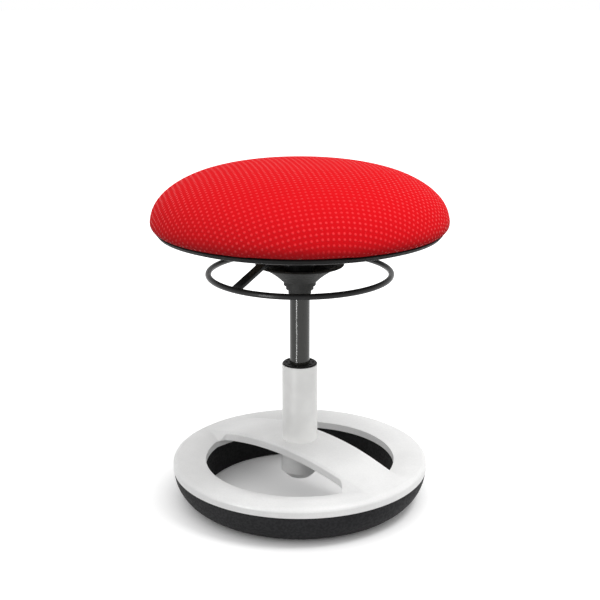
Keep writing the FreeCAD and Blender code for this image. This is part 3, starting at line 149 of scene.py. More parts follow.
class BaseSettings(bpy.types.PropertyGroup):
    """Rocker, base cover and column."""
    cover_colour: bpy.props.FloatVectorProperty(
        name="Base cover", description="White moulded cover", subtype="COLOR", size=3, min=0, max=1,
        default=(0.90, 0.90, 0.895))
    rocker_colour: bpy.props.FloatVectorProperty(
        name="Rocker", description="Rubber-like rocker", subtype="COLOR", size=3, min=0, max=1,
        default=(0.014, 0.014, 0.0155))
    column_colour: bpy.props.FloatVectorProperty(
        name="Column", description="Powder coat of the column", subtype="COLOR", size=3, min=0, max=1,
        default=(0.90, 0.90, 0.885))
    bush_colour: bpy.props.FloatVectorProperty(
        name="Guide bush", description="Moulded guide bush", subtype="COLOR", size=3, min=0, max=1,
        default=(0.006, 0.006, 0.006))
    grain: bpy.props.FloatProperty(
        name="Grain", description="Grain of the mouldings", default=0.0007, min=0.0001, max=0.005,
        subtype="DISTANCE", unit="LENGTH", precision=5)


class LiftSettings(bpy.types.PropertyGroup):
    """Gas spring, shroud, lever and mechanism."""
    tube_colour: bpy.props.FloatVectorProperty(
        name="Gas spring", description="Lacquer of the gas spring's tube", subtype="COLOR", size=3,
        min=0, max=1, default=(0.022, 0.0215, 0.0185))
    lever_colour: bpy.props.FloatVectorProperty(
        name="Lever", description="Powder coat of the lever and the mechanism", subtype="COLOR", size=3,
        min=0, max=1, default=(0.007, 0.007, 0.0075))
    shroud_colour: bpy.props.FloatVectorProperty(
        name="Shroud", description="Matt plastic of the shroud", subtype="COLOR", size=3, min=0, max=1,
        default=(0.034, 0.034, 0.033))
    shell_colour: bpy.props.FloatVectorProperty(
        name="Seat shell", description="Moulded shell under the seat", subtype="COLOR", size=3, min=0,
        max=1, default=(0.006, 0.006, 0.006))
    arm_width: bpy.props.FloatProperty(
        name="Arm width", description="Width of the lever's flat arms", default=0.0135, min=0.008,
        max=0.02, subtype="DISTANCE", unit="LENGTH", precision=4)
    arm_thickness: bpy.props.FloatProperty(
        name="Arm thickness", description="Thickness of the lever's flat arms", default=0.0058,
        min=0.003, max=0.008, subtype="DISTANCE", unit="LENGTH", precision=4)
    wear: bpy.props.FloatProperty(
        name="Wear", description="Wear along the edges of the coated steel", default=0.25, min=0, max=1,
        subtype="FACTOR")


class StageSettings(bpy.types.PropertyGroup):
    """Plain studio and camera."""
    floor_colour: bpy.props.FloatVectorProperty(
        name="Floor", description="Colour of the floor", subtype="COLOR", size=3, min=0, max=1,
        default=(0.92, 0.92, 0.92))
    bounce_colour: bpy.props.FloatVectorProperty(
        name="Bounce", description="Colour of the light that the floor throws back", subtype="COLOR",
        size=3, min=0, max=1, default=(0.45, 0.45, 0.45))
    sky_strength: bpy.props.FloatProperty(
        name="Sky", description="Even light from all round", default=0.88, min=0, max=2)
    key_power: bpy.props.FloatProperty(
        name="Key lamp", description="Power of the softbox above at the right", default=17.0, min=0,
        max=200, subtype="POWER", unit="POWER")
    strip_power: bpy.props.FloatProperty(
        name="Strip lamp", description="Power of the narrow lamp at the left, for gloss only",
        default=2.2, min=0, max=200, subtype="POWER", unit="POWER")
    camera_distance: bpy.props.FloatProperty(
        name="Camera distance", description="Camera in front of the stool's axis", default=1.5063,
        subtype="DISTANCE", unit="LENGTH")
    camera_level: bpy.props.FloatProperty(
        name="Camera level", description="Camera over the floor", default=0.70885, subtype="DISTANCE",
        unit="LENGTH")
    camera_tilt: bpy.props.FloatProperty(
        name="Camera tilt", description="Camera's look down from level", default=math.radians(15.61),
        subtype="ANGLE")
    focal_length: bpy.props.FloatProperty(
        name="Focal length", description="Lens in millimetres", default=67.872, min=10, max=300)


# Small helpers for the finishes

def feed(tree, socket, value):
    """Links a socket or sets a plain value."""
    if isinstance(value, bpy.types.NodeSocket):
        tree.links.new(value, socket)
    elif socket.type == "RGBA" and len(value) == 3:
        socket.default_value = (*value, 1)
    else:
        socket.default_value = value


def place(tree, kind, settings=None, **inputs):
    """Adds a node; an input's spaces are written as underscores."""
    made = tree.nodes.new(kind)
    for name, value in (settings or {}).items():
        setattr(made, name, value)
    for name, value in inputs.items():
        feed(tree, made.inputs[name.replace("_", " ")], value)
    return made


def maths(tree, operation, first, second=0.0):
    """Result of a sum, product or other plain operation."""
    made = place(tree, "ShaderNodeMath", {"operation": operation})
    feed(tree, made.inputs[0], first)
    feed(tree, made.inputs[1], second)
    return made.outputs[0]


def vector_maths(tree, operation, first, second=(0, 0, 0)):
    """Result of a plain operation on vectors."""
    made = place(tree, "ShaderNodeVectorMath", {"operation": operation})
    feed(tree, made.inputs[0], first)
    feed(tree, made.inputs[1], second)
    return made.outputs["Value"] if operation in {"LENGTH", "DOT_PRODUCT"} else made.outputs["Vector"]


def between(tree, value, low, high, to_low=0.0, to_high=1.0):
    """Maps a value from one range to another, smoothly and without leaving it."""
    made = place(tree, "ShaderNodeMapRange", {"interpolation_type": "SMOOTHSTEP"}, Value=value)
    for name, number in (("From Min", low), ("From Max", high), ("To Min", to_low), ("To Max", to_high)):
        feed(tree, made.inputs[name], number)
    return made.outputs["Result"]


def blended(tree, share, first, second):
    """Mixes two colours."""
    made = place(tree, "ShaderNodeMix", {"data_type": "RGBA"})
    feed(tree, made.inputs["Factor"], share)
    feed(tree, made.inputs[6], first)
    feed(tree, made.inputs[7], second)
    return made.outputs[2]


def shaded(colour, share):
    """A colour made lighter or darker."""
    return tuple(min(1.0, channel * share) for channel in colour)


def start_group(name, inputs, outputs):
    """Starts a shared effect with its named inputs and outputs."""
    tree = bpy.data.node_groups.new(name, "ShaderNodeTree")
    for label, default in inputs:
        kind = "NodeSocketVector" if isinstance(default, tuple) else "NodeSocketFloat"
        socket = tree.interface.new_socket(name=label, in_out="INPUT", socket_type=kind)
        socket.default_value = default
    for label, kind in outputs:
        tree.interface.new_socket(name=label, in_out="OUTPUT", socket_type=kind)
    return tree, tree.nodes.new("NodeGroupInput"), tree.nodes.new("NodeGroupOutput")


def spot_vector(tree):
    """Place on the piece, in metres."""
    return tree.nodes.new("ShaderNodeTexCoord").outputs["Object"]


def speckle(tree, where, size, detail=2.0, rough=0.5):
    """Noise whose lumps are about the given size."""
    made = place(tree, "ShaderNodeTexNoise", None, Vector=where, Detail=detail, Roughness=rough)
    feed(tree, made.inputs["Scale"], maths(tree, "DIVIDE", 1.0, size))
    return made.outputs[0]


# Effects that several finishes share

def moulding_grain_group():
    """Fine grain of moulded and coated surfaces, with slow changes of shade."""
    tree, given, result = start_group(
        "Moulding grain", (("Grain Size", 0.0007), ("Patch Size", 0.06)),
        (("Height", "NodeSocketFloat"), ("Pores", "NodeSocketFloat"), ("Patches", "NodeSocketFloat")))
    where = spot_vector(tree)
    fine = speckle(tree, where, given.outputs["Grain Size"])
    coarse = speckle(tree, where, maths(tree, "MULTIPLY", given.outputs["Grain Size"], 3.7))
    height = maths(tree, "ADD", maths(tree, "MULTIPLY", fine, 0.6), maths(tree, "MULTIPLY", coarse, 0.4))
    tree.links.new(height, result.inputs["Height"])
    tree.links.new(between(tree, coarse, 0.35, 0.65), result.inputs["Pores"])
    patches = speckle(tree, where, given.outputs["Patch Size"], 3.0)
    tree.links.new(between(tree, patches, 0.3, 0.7), result.inputs["Patches"])
    return tree


def edge_wear_group():
    """Edges that are rounded a little and rubbed in places."""
    tree, given, result = start_group(
        "Edge wear", (("Edge Width", 0.0006), ("Patch Size", 0.008), ("Amount", 0.3)),
        (("Normal", "NodeSocketVector"), ("Mask", "NodeSocketFloat")))
    rounded = place(tree, "ShaderNodeBevel", {"samples": 4}, Radius=given.outputs["Edge Width"])
    surface = tree.nodes.new("ShaderNodeNewGeometry")
    turn = vector_maths(tree, "DOT_PRODUCT", rounded.outputs[0], surface.outputs["Normal"])
    edge = between(tree, maths(tree, "SUBTRACT", 1.0, turn), 0.02, 0.2)
    patches = speckle(tree, spot_vector(tree), given.outputs["Patch Size"], 3.0)
    rubbed = maths(tree, "MULTIPLY", edge, between(tree, patches, 0.42, 0.6))
    tree.links.new(maths(tree, "MULTIPLY", rubbed, given.outputs["Amount"]), result.inputs["Mask"])
    tree.links.new(rounded.outputs[0], result.inputs["Normal"])
    return tree


def settled_dust_group():
    """Thin dust on what faces up."""
    tree, given, result = start_group(
        "Settled dust", (("Patch Size", 0.03), ("Amount", 0.1)), (("Mask", "NodeSocketFloat"),))
    surface = tree.nodes.new("ShaderNodeNewGeometry")
    upward = vector_maths(tree, "DOT_PRODUCT", surface.outputs["Normal"], (0.0, 0.0, 1.0))
    patches = speckle(tree, spot_vector(tree), given.outputs["Patch Size"], 4.0, 0.6)
    lying = maths(tree, "MULTIPLY", between(tree, upward, 0.3, 0.95), between(tree, patches, 0.3, 0.75))
    tree.links.new(maths(tree, "MULTIPLY", lying, given.outputs["Amount"]), result.inputs["Mask"])
    return tree


def turned_lines_group():
    """Fine rings that a lathe leaves round the stool's axis."""
    tree, given, result = start_group(
        "Turned lines", (("Line Width", 0.0004),),
        (("Height", "NodeSocketFloat"), ("Tint", "NodeSocketFloat")))
    where = spot_vector(tree)
    flat = vector_maths(tree, "MULTIPLY", where, (1.0, 1.0, 0.0))
    spot = place(tree, "ShaderNodeSeparateXYZ", None, Vector=where)
    ring = place(tree, "ShaderNodeCombineXYZ", None, X=vector_maths(tree, "LENGTH", flat), Y=0.0,
                 Z=spot.outputs["Z"])
    lines = speckle(tree, ring.outputs[0], given.outputs["Line Width"], 2.0, 0.7)
    tree.links.new(lines, result.inputs["Height"])
    tree.links.new(between(tree, lines, 0.3, 0.7), result.inputs["Tint"])
    return tree


def drawn_lines_group():
    """Long fine lines of drawn and ground steel, upright."""
    tree, given, result = start_group(
        "Drawn lines", (("Line Width", 0.0008),),
        (("Height", "NodeSocketFloat"), ("Tint", "NodeSocketFloat")))
    slim = vector_maths(tree, "MULTIPLY", spot_vector(tree), (1.0, 1.0, 0.02))
    lines = speckle(tree, slim, given.outputs["Line Width"], 2.0, 0.6)
    tree.links.new(lines, result.inputs["Height"])
    tree.links.new(between(tree, lines, 0.3, 0.7), result.inputs["Tint"])
    return tree


def dotted_knit_group(profile):
    """Raised dots in crossing rows and the fine knit between them, laid over the crown."""
    tree, given, result = start_group(
        "Dotted knit", (("Dot Pitch", 0.0084), ("Dot Size", 0.46), ("Row Turn", 0.19)),
        (("Dots", "NodeSocketFloat"), ("Knit", "NodeSocketFloat"), ("Height", "NodeSocketFloat"),
         ("Side", "NodeSocketFloat"), ("Patches", "NodeSocketFloat")))
    where = spot_vector(tree)
    waist = seat_sizes().waist_level - 0.06
    spot = place(tree, "ShaderNodeSeparateXYZ", None, Vector=where)
    flat = vector_maths(tree, "MULTIPLY", where, (1.0, 1.0, 0.0))
    radius = vector_maths(tree, "LENGTH", flat)
    lean = maths(tree, "ARCTAN2", radius, maths(tree, "SUBTRACT", spot.outputs["Z"], waist))
    curve = place(tree, "ShaderNodeFloatCurve", None, Value=maths(tree, "DIVIDE", lean, math.pi / 2))
    longest = profile[-1][2]
    line = curve.mapping.curves[0]
    marks = [profile[i] for i in range(0, len(profile), max(1, len(profile) // 24))] + [profile[-1]]
    spots = []
    for across, level, run in marks:
        share = math.atan2(across, level - waist) / (math.pi / 2)
        if share <= 1 and (not spots or share > spots[-1][0] + 0.004):
            spots.append((share, run / longest))
    line.points[0].location = spots[0]
    line.points[1].location = (1, min(1.0, spots[-1][1] + (1 - spots[-1][0]) * 0.6))
    for share, run in spots[1:]:
        line.points.new(share, run)
    curve.mapping.update()
    run = maths(tree, "MULTIPLY", curve.outputs[0], longest)
    course = vector_maths(tree, "NORMALIZE", flat)
    laid = place(tree, "ShaderNodeVectorMath", {"operation": "SCALE"}, Vector=course, Scale=run)
    turned = place(tree, "ShaderNodeVectorRotate", {"rotation_type": "Z_AXIS"}, Vector=laid.outputs[0])
    feed(tree, turned.inputs["Angle"], maths(tree, "MULTIPLY", given.outputs["Row Turn"], -1.0))
    pitch = given.outputs["Dot Pitch"]
    cells = place(tree, "ShaderNodeVectorMath", {"operation": "SCALE"}, Vector=turned.outputs[0])
    feed(tree, cells.inputs["Scale"], maths(tree, "DIVIDE", 1.0, pitch))
    wander = place(tree, "ShaderNodeTexNoise", None, Vector=cells.outputs[0], Scale=0.35, Detail=1.0)
    shift = place(tree, "ShaderNodeVectorMath", {"operation": "MULTIPLY_ADD"})
    feed(tree, shift.inputs[0], wander.outputs["Color"])
    shift.inputs[1].default_value = (0.25, 0.25, 0.0)
    feed(tree, shift.inputs[2], cells.outputs[0])
    inside = vector_maths(tree, "FRACTION", shift.outputs[0])
    centred = vector_maths(tree, "MULTIPLY", vector_maths(tree, "SUBTRACT", inside, (0.5, 0.5, 0.0)),
                           (1.0, 1.0, 0.0))
    off = maths(tree, "DIVIDE", vector_maths(tree, "LENGTH", centred), given.outputs["Dot Size"])
    dots = between(tree, off, 0.72, 0.28)
    knit = place(tree, "ShaderNodeTexVoronoi", {"feature": "F1"}, Vector=cells.outputs[0], Scale=7.0)
    loops = between(tree, knit.outputs["Distance"], 0.1, 0.6, 1.0, 0.0)
    height = maths(tree, "ADD", maths(tree, "MULTIPLY", dots, 0.8), maths(tree, "MULTIPLY", loops, 0.2))
    patches = speckle(tree, where, 0.09, 3.0)
    for label, value in (("Dots", dots), ("Knit", loops), ("Height", height), ("Side", curve.outputs[0]),
                         ("Patches", between(tree, patches, 0.3, 0.7))):
        tree.links.new(value, result.inputs[label])
    return tree


EFFECTS = {}


def effect(tree, name, **inputs):
    """Places a shared effect in a finish with its own values."""
    made = tree.nodes.new("ShaderNodeGroup")
    made.node_tree = EFFECTS[name]
    for label, value in inputs.items():
        feed(tree, made.inputs[label.replace("_", " ")], value)
    return made.outputs


def start_finish(name):
    """Starts a finish and returns its tree and its shader."""
    finish = bpy.data.materials.new(name)
    finish.use_nodes = True
    tree = finish.node_tree
    tree.nodes.clear()
    shader = tree.nodes.new("ShaderNodeBsdfPrincipled")
    output = tree.nodes.new("ShaderNodeOutputMaterial")
    tree.links.new(shader.outputs[0], output.inputs[0])
    return finish, tree, shader


def relief(tree, height, depth, normal=None):
    """Turns a height into a surface normal; depth is in metres."""
    made = place(tree, "ShaderNodeBump", None, Height=height, Distance=depth, Strength=1.0)
    if normal is not None:
        feed(tree, made.inputs["Normal"], normal)
    return made.outputs[0]


# Finishes

def moulded_plastic(name, colour, gloss, grain=0.0007, depth=0.00002, dust=0.05, shine=0.5, edge=0.0006):
    """Moulded plastic with its spark-eroded grain, slow patches and a little dust."""
    finish, tree, shader = start_finish(name)
    grained = effect(tree, "Moulding grain", Grain_Size=grain)
    rubbed = effect(tree, "Edge wear", Edge_Width=edge, Amount=0.35)
    dusty = effect(tree, "Settled dust", Amount=dust)
    plain = blended(tree, grained["Patches"], shaded(colour, 0.96), shaded(colour, 1.04))
    pored = blended(tree, maths(tree, "MULTIPLY", grained["Pores"], 0.12), plain, shaded(colour, 0.75))
    edged = blended(tree, rubbed["Mask"], pored, shaded(colour, 1.35))
    feed(tree, shader.inputs["Base Color"], blended(tree, dusty["Mask"], edged, LIGHT_DUST))
    rough = between(tree, grained["Pores"], 0.0, 1.0, gloss - 0.05, gloss + 0.07)
    dulled = maths(tree, "ADD", rough, maths(tree, "MULTIPLY", dusty["Mask"], 0.5))
    feed(tree, shader.inputs["Roughness"], dulled)
    feed(tree, shader.inputs["Normal"], relief(tree, grained["Height"], depth, rubbed["Normal"]))
    shader.inputs["Specular IOR Level"].default_value = shine
    return finish


def coated_steel(name, colour, gloss, wear, lumps=0.0016, depth=0.00003, shine=0.5):
    """Powder coat over steel: orange peel, rubbed edges that show the metal, a little dust."""
    finish, tree, shader = start_finish(name)
    peel = effect(tree, "Moulding grain", Grain_Size=lumps, Patch_Size=0.04)
    rubbed = effect(tree, "Edge wear", Edge_Width=0.0007, Patch_Size=0.006, Amount=wear)
    dusty = effect(tree, "Settled dust", Amount=0.06)
    plain = blended(tree, peel["Patches"], shaded(colour, 0.95), shaded(colour, 1.05))
    edged = blended(tree, rubbed["Mask"], plain, BARE_EDGE)
    feed(tree, shader.inputs["Base Color"], blended(tree, dusty["Mask"], edged, LIGHT_DUST))
    rough = between(tree, peel["Patches"], 0.0, 1.0, gloss - 0.04, gloss + 0.05)
    dulled = maths(tree, "ADD", rough, maths(tree, "MULTIPLY", dusty["Mask"], 0.4))
    feed(tree, shader.inputs["Roughness"], dulled)
    feed(tree, shader.inputs["Normal"], relief(tree, peel["Height"], depth, rubbed["Normal"]))
    shader.inputs["Specular IOR Level"].default_value = shine
    return finish


def lacquered_tube(name, colour, gloss):
    """Drawn steel tube under thin semi-gloss lacquer."""
    finish, tree, shader = start_finish(name)
    lines = effect(tree, "Drawn lines", Line_Width=0.0009)
    peel = effect(tree, "Moulding grain", Grain_Size=0.0012, Patch_Size=0.03)
    plain = blended(tree, peel["Patches"], shaded(colour, 0.9), shaded(colour, 1.1))
    streaked = blended(tree, maths(tree, "MULTIPLY", lines["Tint"], 0.2), plain, shaded(colour, 1.4))
    feed(tree, shader.inputs["Base Color"], streaked)
    feed(tree, shader.inputs["Roughness"], between(tree, lines["Tint"], 0.0, 1.0, gloss - 0.04, gloss + 0.05))
    feed(tree, shader.inputs["Normal"], relief(tree, peel["Height"], 0.000003))
    shader.inputs["Specular IOR Level"].default_value = 0.4
    return finish


def soft_rubber(name, colour, gloss, grain=0.0009):
    """Dense rubber with a dull bloom and fine pits, and painted shade on faces that turn in towards the axis.
    """
    finish, tree, shader = start_finish(name)
    grained = effect(tree, "Moulding grain", Grain_Size=grain, Patch_Size=0.05)
    rubbed = effect(tree, "Edge wear", Edge_Width=0.0008, Patch_Size=0.012, Amount=0.3)
    dusty = effect(tree, "Settled dust", Amount=0.08, Patch_Size=0.02)
    plain = blended(tree, grained["Patches"], shaded(colour, 0.85), shaded(colour, 1.2))
    pitted = blended(tree, maths(tree, "MULTIPLY", grained["Pores"], 0.35), plain, shaded(colour, 0.5))
    # Painted shade: faces turned in towards the axis, such as the rocker's inner wall, blend up to 80 percent
    # towards a copy of the colour at 15 percent.
    spot = place(tree, "ShaderNodeSeparateXYZ", None, Vector=spot_vector(tree))
    flat = place(tree, "ShaderNodeCombineXYZ", None, X=spot.outputs["X"], Y=spot.outputs["Y"], Z=0.0)
    surface = tree.nodes.new("ShaderNodeNewGeometry")
    outward = vector_maths(tree, "DOT_PRODUCT", surface.outputs["Normal"],
                           vector_maths(tree, "NORMALIZE", flat.outputs[0]))
    inner = between(tree, outward, -0.2, -0.7, 0.0, 0.8)
    inward_painted_shade = blended(tree, inner, pitted, shaded(colour, 0.15))
    edged = blended(tree, rubbed["Mask"], inward_painted_shade, shaded(colour, 3.0))
    feed(tree, shader.inputs["Base Color"], blended(tree, dusty["Mask"], edged, RUBBER_DUST))
    rough = between(tree, grained["Pores"], 0.0, 1.0, gloss - 0.08, gloss + 0.08)
    feed(tree, shader.inputs["Roughness"], rough)
    feed(tree, shader.inputs["Normal"], relief(tree, grained["Height"], 0.00003, rubbed["Normal"]))
    shader.inputs["Specular IOR Level"].default_value = 0.2
    return finish


def bright_steel(name, colour, gloss, lines="Turned lines", width=0.0004, depth=0.000004):
    """Bare metal with the marks of the lathe or the drawing die."""
    finish, tree, shader = start_finish(name)
    marks = effect(tree, lines, Line_Width=width)
    stains = effect(tree, "Moulding grain", Grain_Size=0.002, Patch_Size=0.012)
    rubbed = effect(tree, "Edge wear", Edge_Width=0.0003, Amount=0.4)
    toned = blended(tree, marks["Tint"], shaded(colour, 0.9), shaded(colour, 1.06))
    stained = blended(tree, maths(tree, "MULTIPLY", stains["Patches"], 0.2), toned, shaded(colour, 0.8))
    feed(tree, shader.inputs["Base Color"], blended(tree, rubbed["Mask"], stained, shaded(colour, 1.2)))
    feed(tree, shader.inputs["Roughness"], between(tree, marks["Tint"], 0.0, 1.0, gloss, gloss + 0.1))
    feed(tree, shader.inputs["Normal"], relief(tree, marks["Height"], depth, rubbed["Normal"]))
    shader.inputs["Metallic"].default_value = 1.0
    return finish


def bare_plywood():
    """Birch board: grain on the faces and plies along the edge."""
    finish, tree, shader = start_finish("Bare plywood")
    where = spot_vector(tree)
    stretched = vector_maths(tree, "MULTIPLY", where, (0.12, 1.0, 1.0))
    fibres = speckle(tree, stretched, 0.0022, 4.0, 0.6)
    broad = place(tree, "ShaderNodeTexWave", {"bands_direction": "Y"}, Vector=stretched, Scale=14.0,
                  Distortion=9.0, Detail=3.0, Detail_Scale=1.4)
    face = blended(tree, broad.outputs["Fac"], (0.56, 0.40, 0.25), (0.66, 0.50, 0.33))
    grained = blended(tree, between(tree, fibres, 0.4, 0.65), face, (0.47, 0.32, 0.19))
    surface = tree.nodes.new("ShaderNodeNewGeometry")
    level = place(tree, "ShaderNodeSeparateXYZ", None, Vector=where)
    ply = maths(tree, "FRACT", maths(tree, "DIVIDE", level.outputs["Z"], 0.0030))
    band = between(tree, maths(tree, "ABSOLUTE", maths(tree, "SUBTRACT", ply, 0.5)), 0.22, 0.28)
    plies = blended(tree, band, (0.62, 0.47, 0.31), (0.36, 0.24, 0.14))
    upward = vector_maths(tree, "DOT_PRODUCT", surface.outputs["Normal"], (0.0, 0.0, 1.0))
    flat = between(tree, maths(tree, "ABSOLUTE", upward), 0.5, 0.8)
    feed(tree, shader.inputs["Base Color"], blended(tree, flat, plies, grained))
    feed(tree, shader.inputs["Roughness"], between(tree, fibres, 0.3, 0.7, 0.62, 0.8))
    feed(tree, shader.inputs["Normal"], relief(tree, fibres, 0.00008))
    return finish


def moulded_foam():
    """Pale seat foam with its open cells under a thin skin."""
    finish, tree, shader = start_finish("Moulded foam")
    where = spot_vector(tree)
    cells = place(tree, "ShaderNodeTexVoronoi", {"feature": "DISTANCE_TO_EDGE"}, Vector=where, Scale=620.0)
    walls = between(tree, cells.outputs["Distance"], 0.0, 0.12)
    grained = effect(tree, "Moulding grain", Grain_Size=0.003, Patch_Size=0.05)
    tone = blended(tree, grained["Patches"], (0.72, 0.67, 0.53), (0.80, 0.77, 0.66))
    feed(tree, shader.inputs["Base Color"], blended(tree, walls, (0.50, 0.45, 0.34), tone))
    feed(tree, shader.inputs["Roughness"], between(tree, walls, 0.0, 1.0, 0.98, 0.86))
    feed(tree, shader.inputs["Normal"], relief(tree, walls, 0.0003))
    shader.inputs["Specular IOR Level"].default_value = 0.1
    return finish


def dotted_cloth():
    """Stretch knit with raised dots, partly painted highlight; painted shade darkens it from just above its
    widest part down to the rim.
    """
    seat = seat_sizes()
    finish, tree, shader = start_finish("Dotted cloth")
    knit = effect(tree, "Dotted knit", Dot_Pitch=seat.dot_pitch, Dot_Size=seat.dot_share,
                  Row_Turn=seat.row_turn)
    ground = tuple(seat.cloth_colour)
    valley = blended(tree, knit["Knit"], shaded(ground, 0.86), shaded(ground, 1.04))
    toned = blended(tree, maths(tree, "MULTIPLY", knit["Patches"], 0.35), valley, shaded(ground, 0.93))
    # Painted highlight: full dot colour on the sides, cut to the crown share on the crown.
    stretched = between(tree, knit["Side"], 0.45, 0.85, seat.crown_dot_highlight, 1.0)
    dotted = blended(tree, maths(tree, "MULTIPLY", knit["Dots"], stretched), toned, tuple(seat.dot_and_highlight_colour))
    level = place(tree, "ShaderNodeSeparateXYZ", None, Vector=spot_vector(tree))
    # Painted shade: blends the cover towards the shade colour from 16 mm above its widest level to 9 mm below
    # it.
    hem = between(tree, level.outputs["Z"], seat.waist_level + 0.016, seat.waist_level - 0.009)
    feed(tree, shader.inputs["Base Color"], blended(tree, hem, dotted, tuple(seat.underside_shade_colour)))
    feed(tree, shader.inputs["Roughness"], between(tree, knit["Dots"], 0.0, 1.0, 1.0, 0.4))
    feed(tree, shader.inputs["Normal"], relief(tree, knit["Height"], 0.0006))
    shader.inputs["Specular IOR Level"].default_value = 0.08
    return finish


# Cushion

def seat_sizes():
    """Sizes and colours of the seat."""
    return bpy.context.scene.stool_seat


def laid_in_scene(name, form):
    """Turns a worked form into an object in the scene."""
    mesh = bpy.data.meshes.new(name)
    form.to_mesh(mesh)
    form.free()
    made = bpy.data.objects.new(name, mesh)
    bpy.context.scene.collection.objects.link(made)
    return made


def crown_profile(inset=0.0, steps=150):
    """(radius, level, run from the apex) down the cover: crown, side, fold and hem."""
    seat = seat_sizes()
    radius = COVER_HIGH.x - inset
    rise = COVER_HIGH.z - inset - seat.waist_level
    low = COVER_LOW.z + inset
    hem = BOARD_HIGH.x + HEM_LAP
    points = []
    for step in range(steps + 1):
        share = 1 - (step / steps) ** 2
        across = radius * (1 - share ** seat.crown_power) ** (1 / seat.crown_fullness)
        points.append((across, seat.waist_level + rise * share))
    drop = seat.waist_level - low
    for step in range(1, 9):
        share = step / 8
        points.append((radius - seat.tuck_pull * share ** 2, seat.waist_level - drop * share))
    fold = points[-1][0]
    for step in range(1, 7):
        points.append((fold + (hem - fold) * step / 6, low))
    line = []
    run = 0.0
    before = points[0]
    for across, level in points:
        run += math.hypot(across - before[0], level - before[1])
        line.append((across, level, run))
        before = (across, level)
    return line


def along(profile, run):
    """Radius and level at a run from the apex."""
    for first, second in zip(profile, profile[1:]):
        if run <= second[2]:
            share = (run - first[2]) / max(1e-9, second[2] - first[2])
            return (first[0] + (second[0] - first[0]) * share, first[1] + (second[1] - first[1]) * share)
    return profile[-1][:2]


def cells_across(cell):
    """Even number of grid cells across the cover for cells of about the given size."""
    return 2 * round(crown_profile()[-1][2] / cell)


def cover_skin(name, cells):
    """Round cloth as a grid of even cells, laid over the crown and under the fold."""
    profile = crown_profile()
    longest = profile[-1][2]
    form = bmesh.new()
    rows = []
    for row in range(cells + 1):
        line = []
        for column in range(cells + 1):
            across = 2 * column / cells - 1
            deep = 2 * row / cells - 1
            flat = Vector((across * math.sqrt(1 - deep * deep / 2),
                           deep * math.sqrt(1 - across * across / 2)))
            run = flat.length
            radius, level = along(profile, run * longest)
            way = flat / run if run > 1e-9 else flat
            line.append(form.verts.new((way.x * radius, way.y * radius, level)))
        rows.append(line)
    for near, far in zip(rows, rows[1:]):
        for column in range(cells):
            form.faces.new((near[column], near[column + 1], far[column + 1], far[column]))
    form.normal_update()
    return laid_in_scene(name, form)


def drawn_over(skin):
    """Draws the cover over the foam: air pressure from inside, and the hem held by its staples."""
    seat = seat_sizes()
    mesh = skin.data
    rest = [vertex.co.copy() for vertex in mesh.vertices]
    ways = [vertex.normal.copy() for vertex in mesh.vertices]
    held = skin.vertex_groups.new(name="stapled hem")
    for vertex in mesh.vertices:
        across = math.hypot(vertex.co.x, vertex.co.y)
        if vertex.co.z < COVER_LOW.z + 0.0005 and across < COVER_HIGH.x - HELD_HEM:
            held.add([vertex.index], 1.0, "REPLACE")
        else:
            turn = math.atan2(vertex.co.y, vertex.co.x) * seat.staples
            low = max(0.0, 1 - (vertex.co.z - COVER_LOW.z) / PUCKER_HEIGHT)
            vertex.co -= ways[vertex.index] * (seat.swell + PUCKER_DEPTH * low * math.cos(turn))
    cloth = skin.modifiers.new("drawn on", "CLOTH")
    cloth.settings.vertex_group_mass = held.name
    cloth.settings.quality = 6
    cloth.settings.use_pressure = True
    cloth.settings.uniform_pressure_force = AIR_PRESSURE
    cloth.settings.effector_weights.gravity = 0.0
    cloth.settings.tension_stiffness = STRETCH_STIFFNESS
    cloth.settings.compression_stiffness = STRETCH_STIFFNESS
    cloth.settings.bending_stiffness = BEND_STIFFNESS
    cloth.collision_settings.use_collision = False
    scene = bpy.context.scene
    cloth.point_cache.frame_start = 1
    cloth.point_cache.frame_end = DRAW_FRAMES
    for step in range(1, DRAW_FRAMES + 1):
        scene.frame_set(step)
    shown = skin.evaluated_get(bpy.context.evaluated_depsgraph_get())
    swollen = [vertex.co.copy() for vertex in shown.data.vertices]
    skin.modifiers.remove(cloth)
    scene.frame_set(1)
    # Held on the crown's form: never proud of it, and sunk into the foam by no more than the give
    for vertex, spot, first, way in zip(mesh.vertices, swollen, rest, ways):
        over = (spot - first).dot(way)
        kept = -seat.give * (1 - math.exp(over / seat.give)) if over < 0 else 0.0
        vertex.co = spot + way * (kept - over)


def smooth(thing):
    """Smooth shading over the whole mesh."""
    for face in thing.data.polygons:
        face.use_smooth = True


def turned_form(name, corners):
    """Closed form turned round the stool's axis from (radius, level) corners, on the axis at both ends."""
    form = bmesh.new()
    rings = []
    turns = [2 * math.pi * step / AXIS_STEPS for step in range(AXIS_STEPS)]
    for radius, level in corners:
        if radius < 1e-7:
            rings.append([form.verts.new((0, 0, level))])
            continue
        ring = [form.verts.new((radius * math.cos(turn), radius * math.sin(turn), level)) for turn in turns]
        rings.append(ring)
    for near, far in zip(rings, rings[1:]):
        for step in range(AXIS_STEPS):
            after = (step + 1) % AXIS_STEPS
            corner = [near[step % len(near)], near[after % len(near)],
                      far[after % len(far)], far[step % len(far)]]
            form.faces.new(list(dict.fromkeys(corner)))
    bmesh.ops.recalc_face_normals(form, faces=form.faces)
    return laid_in_scene(name, form)


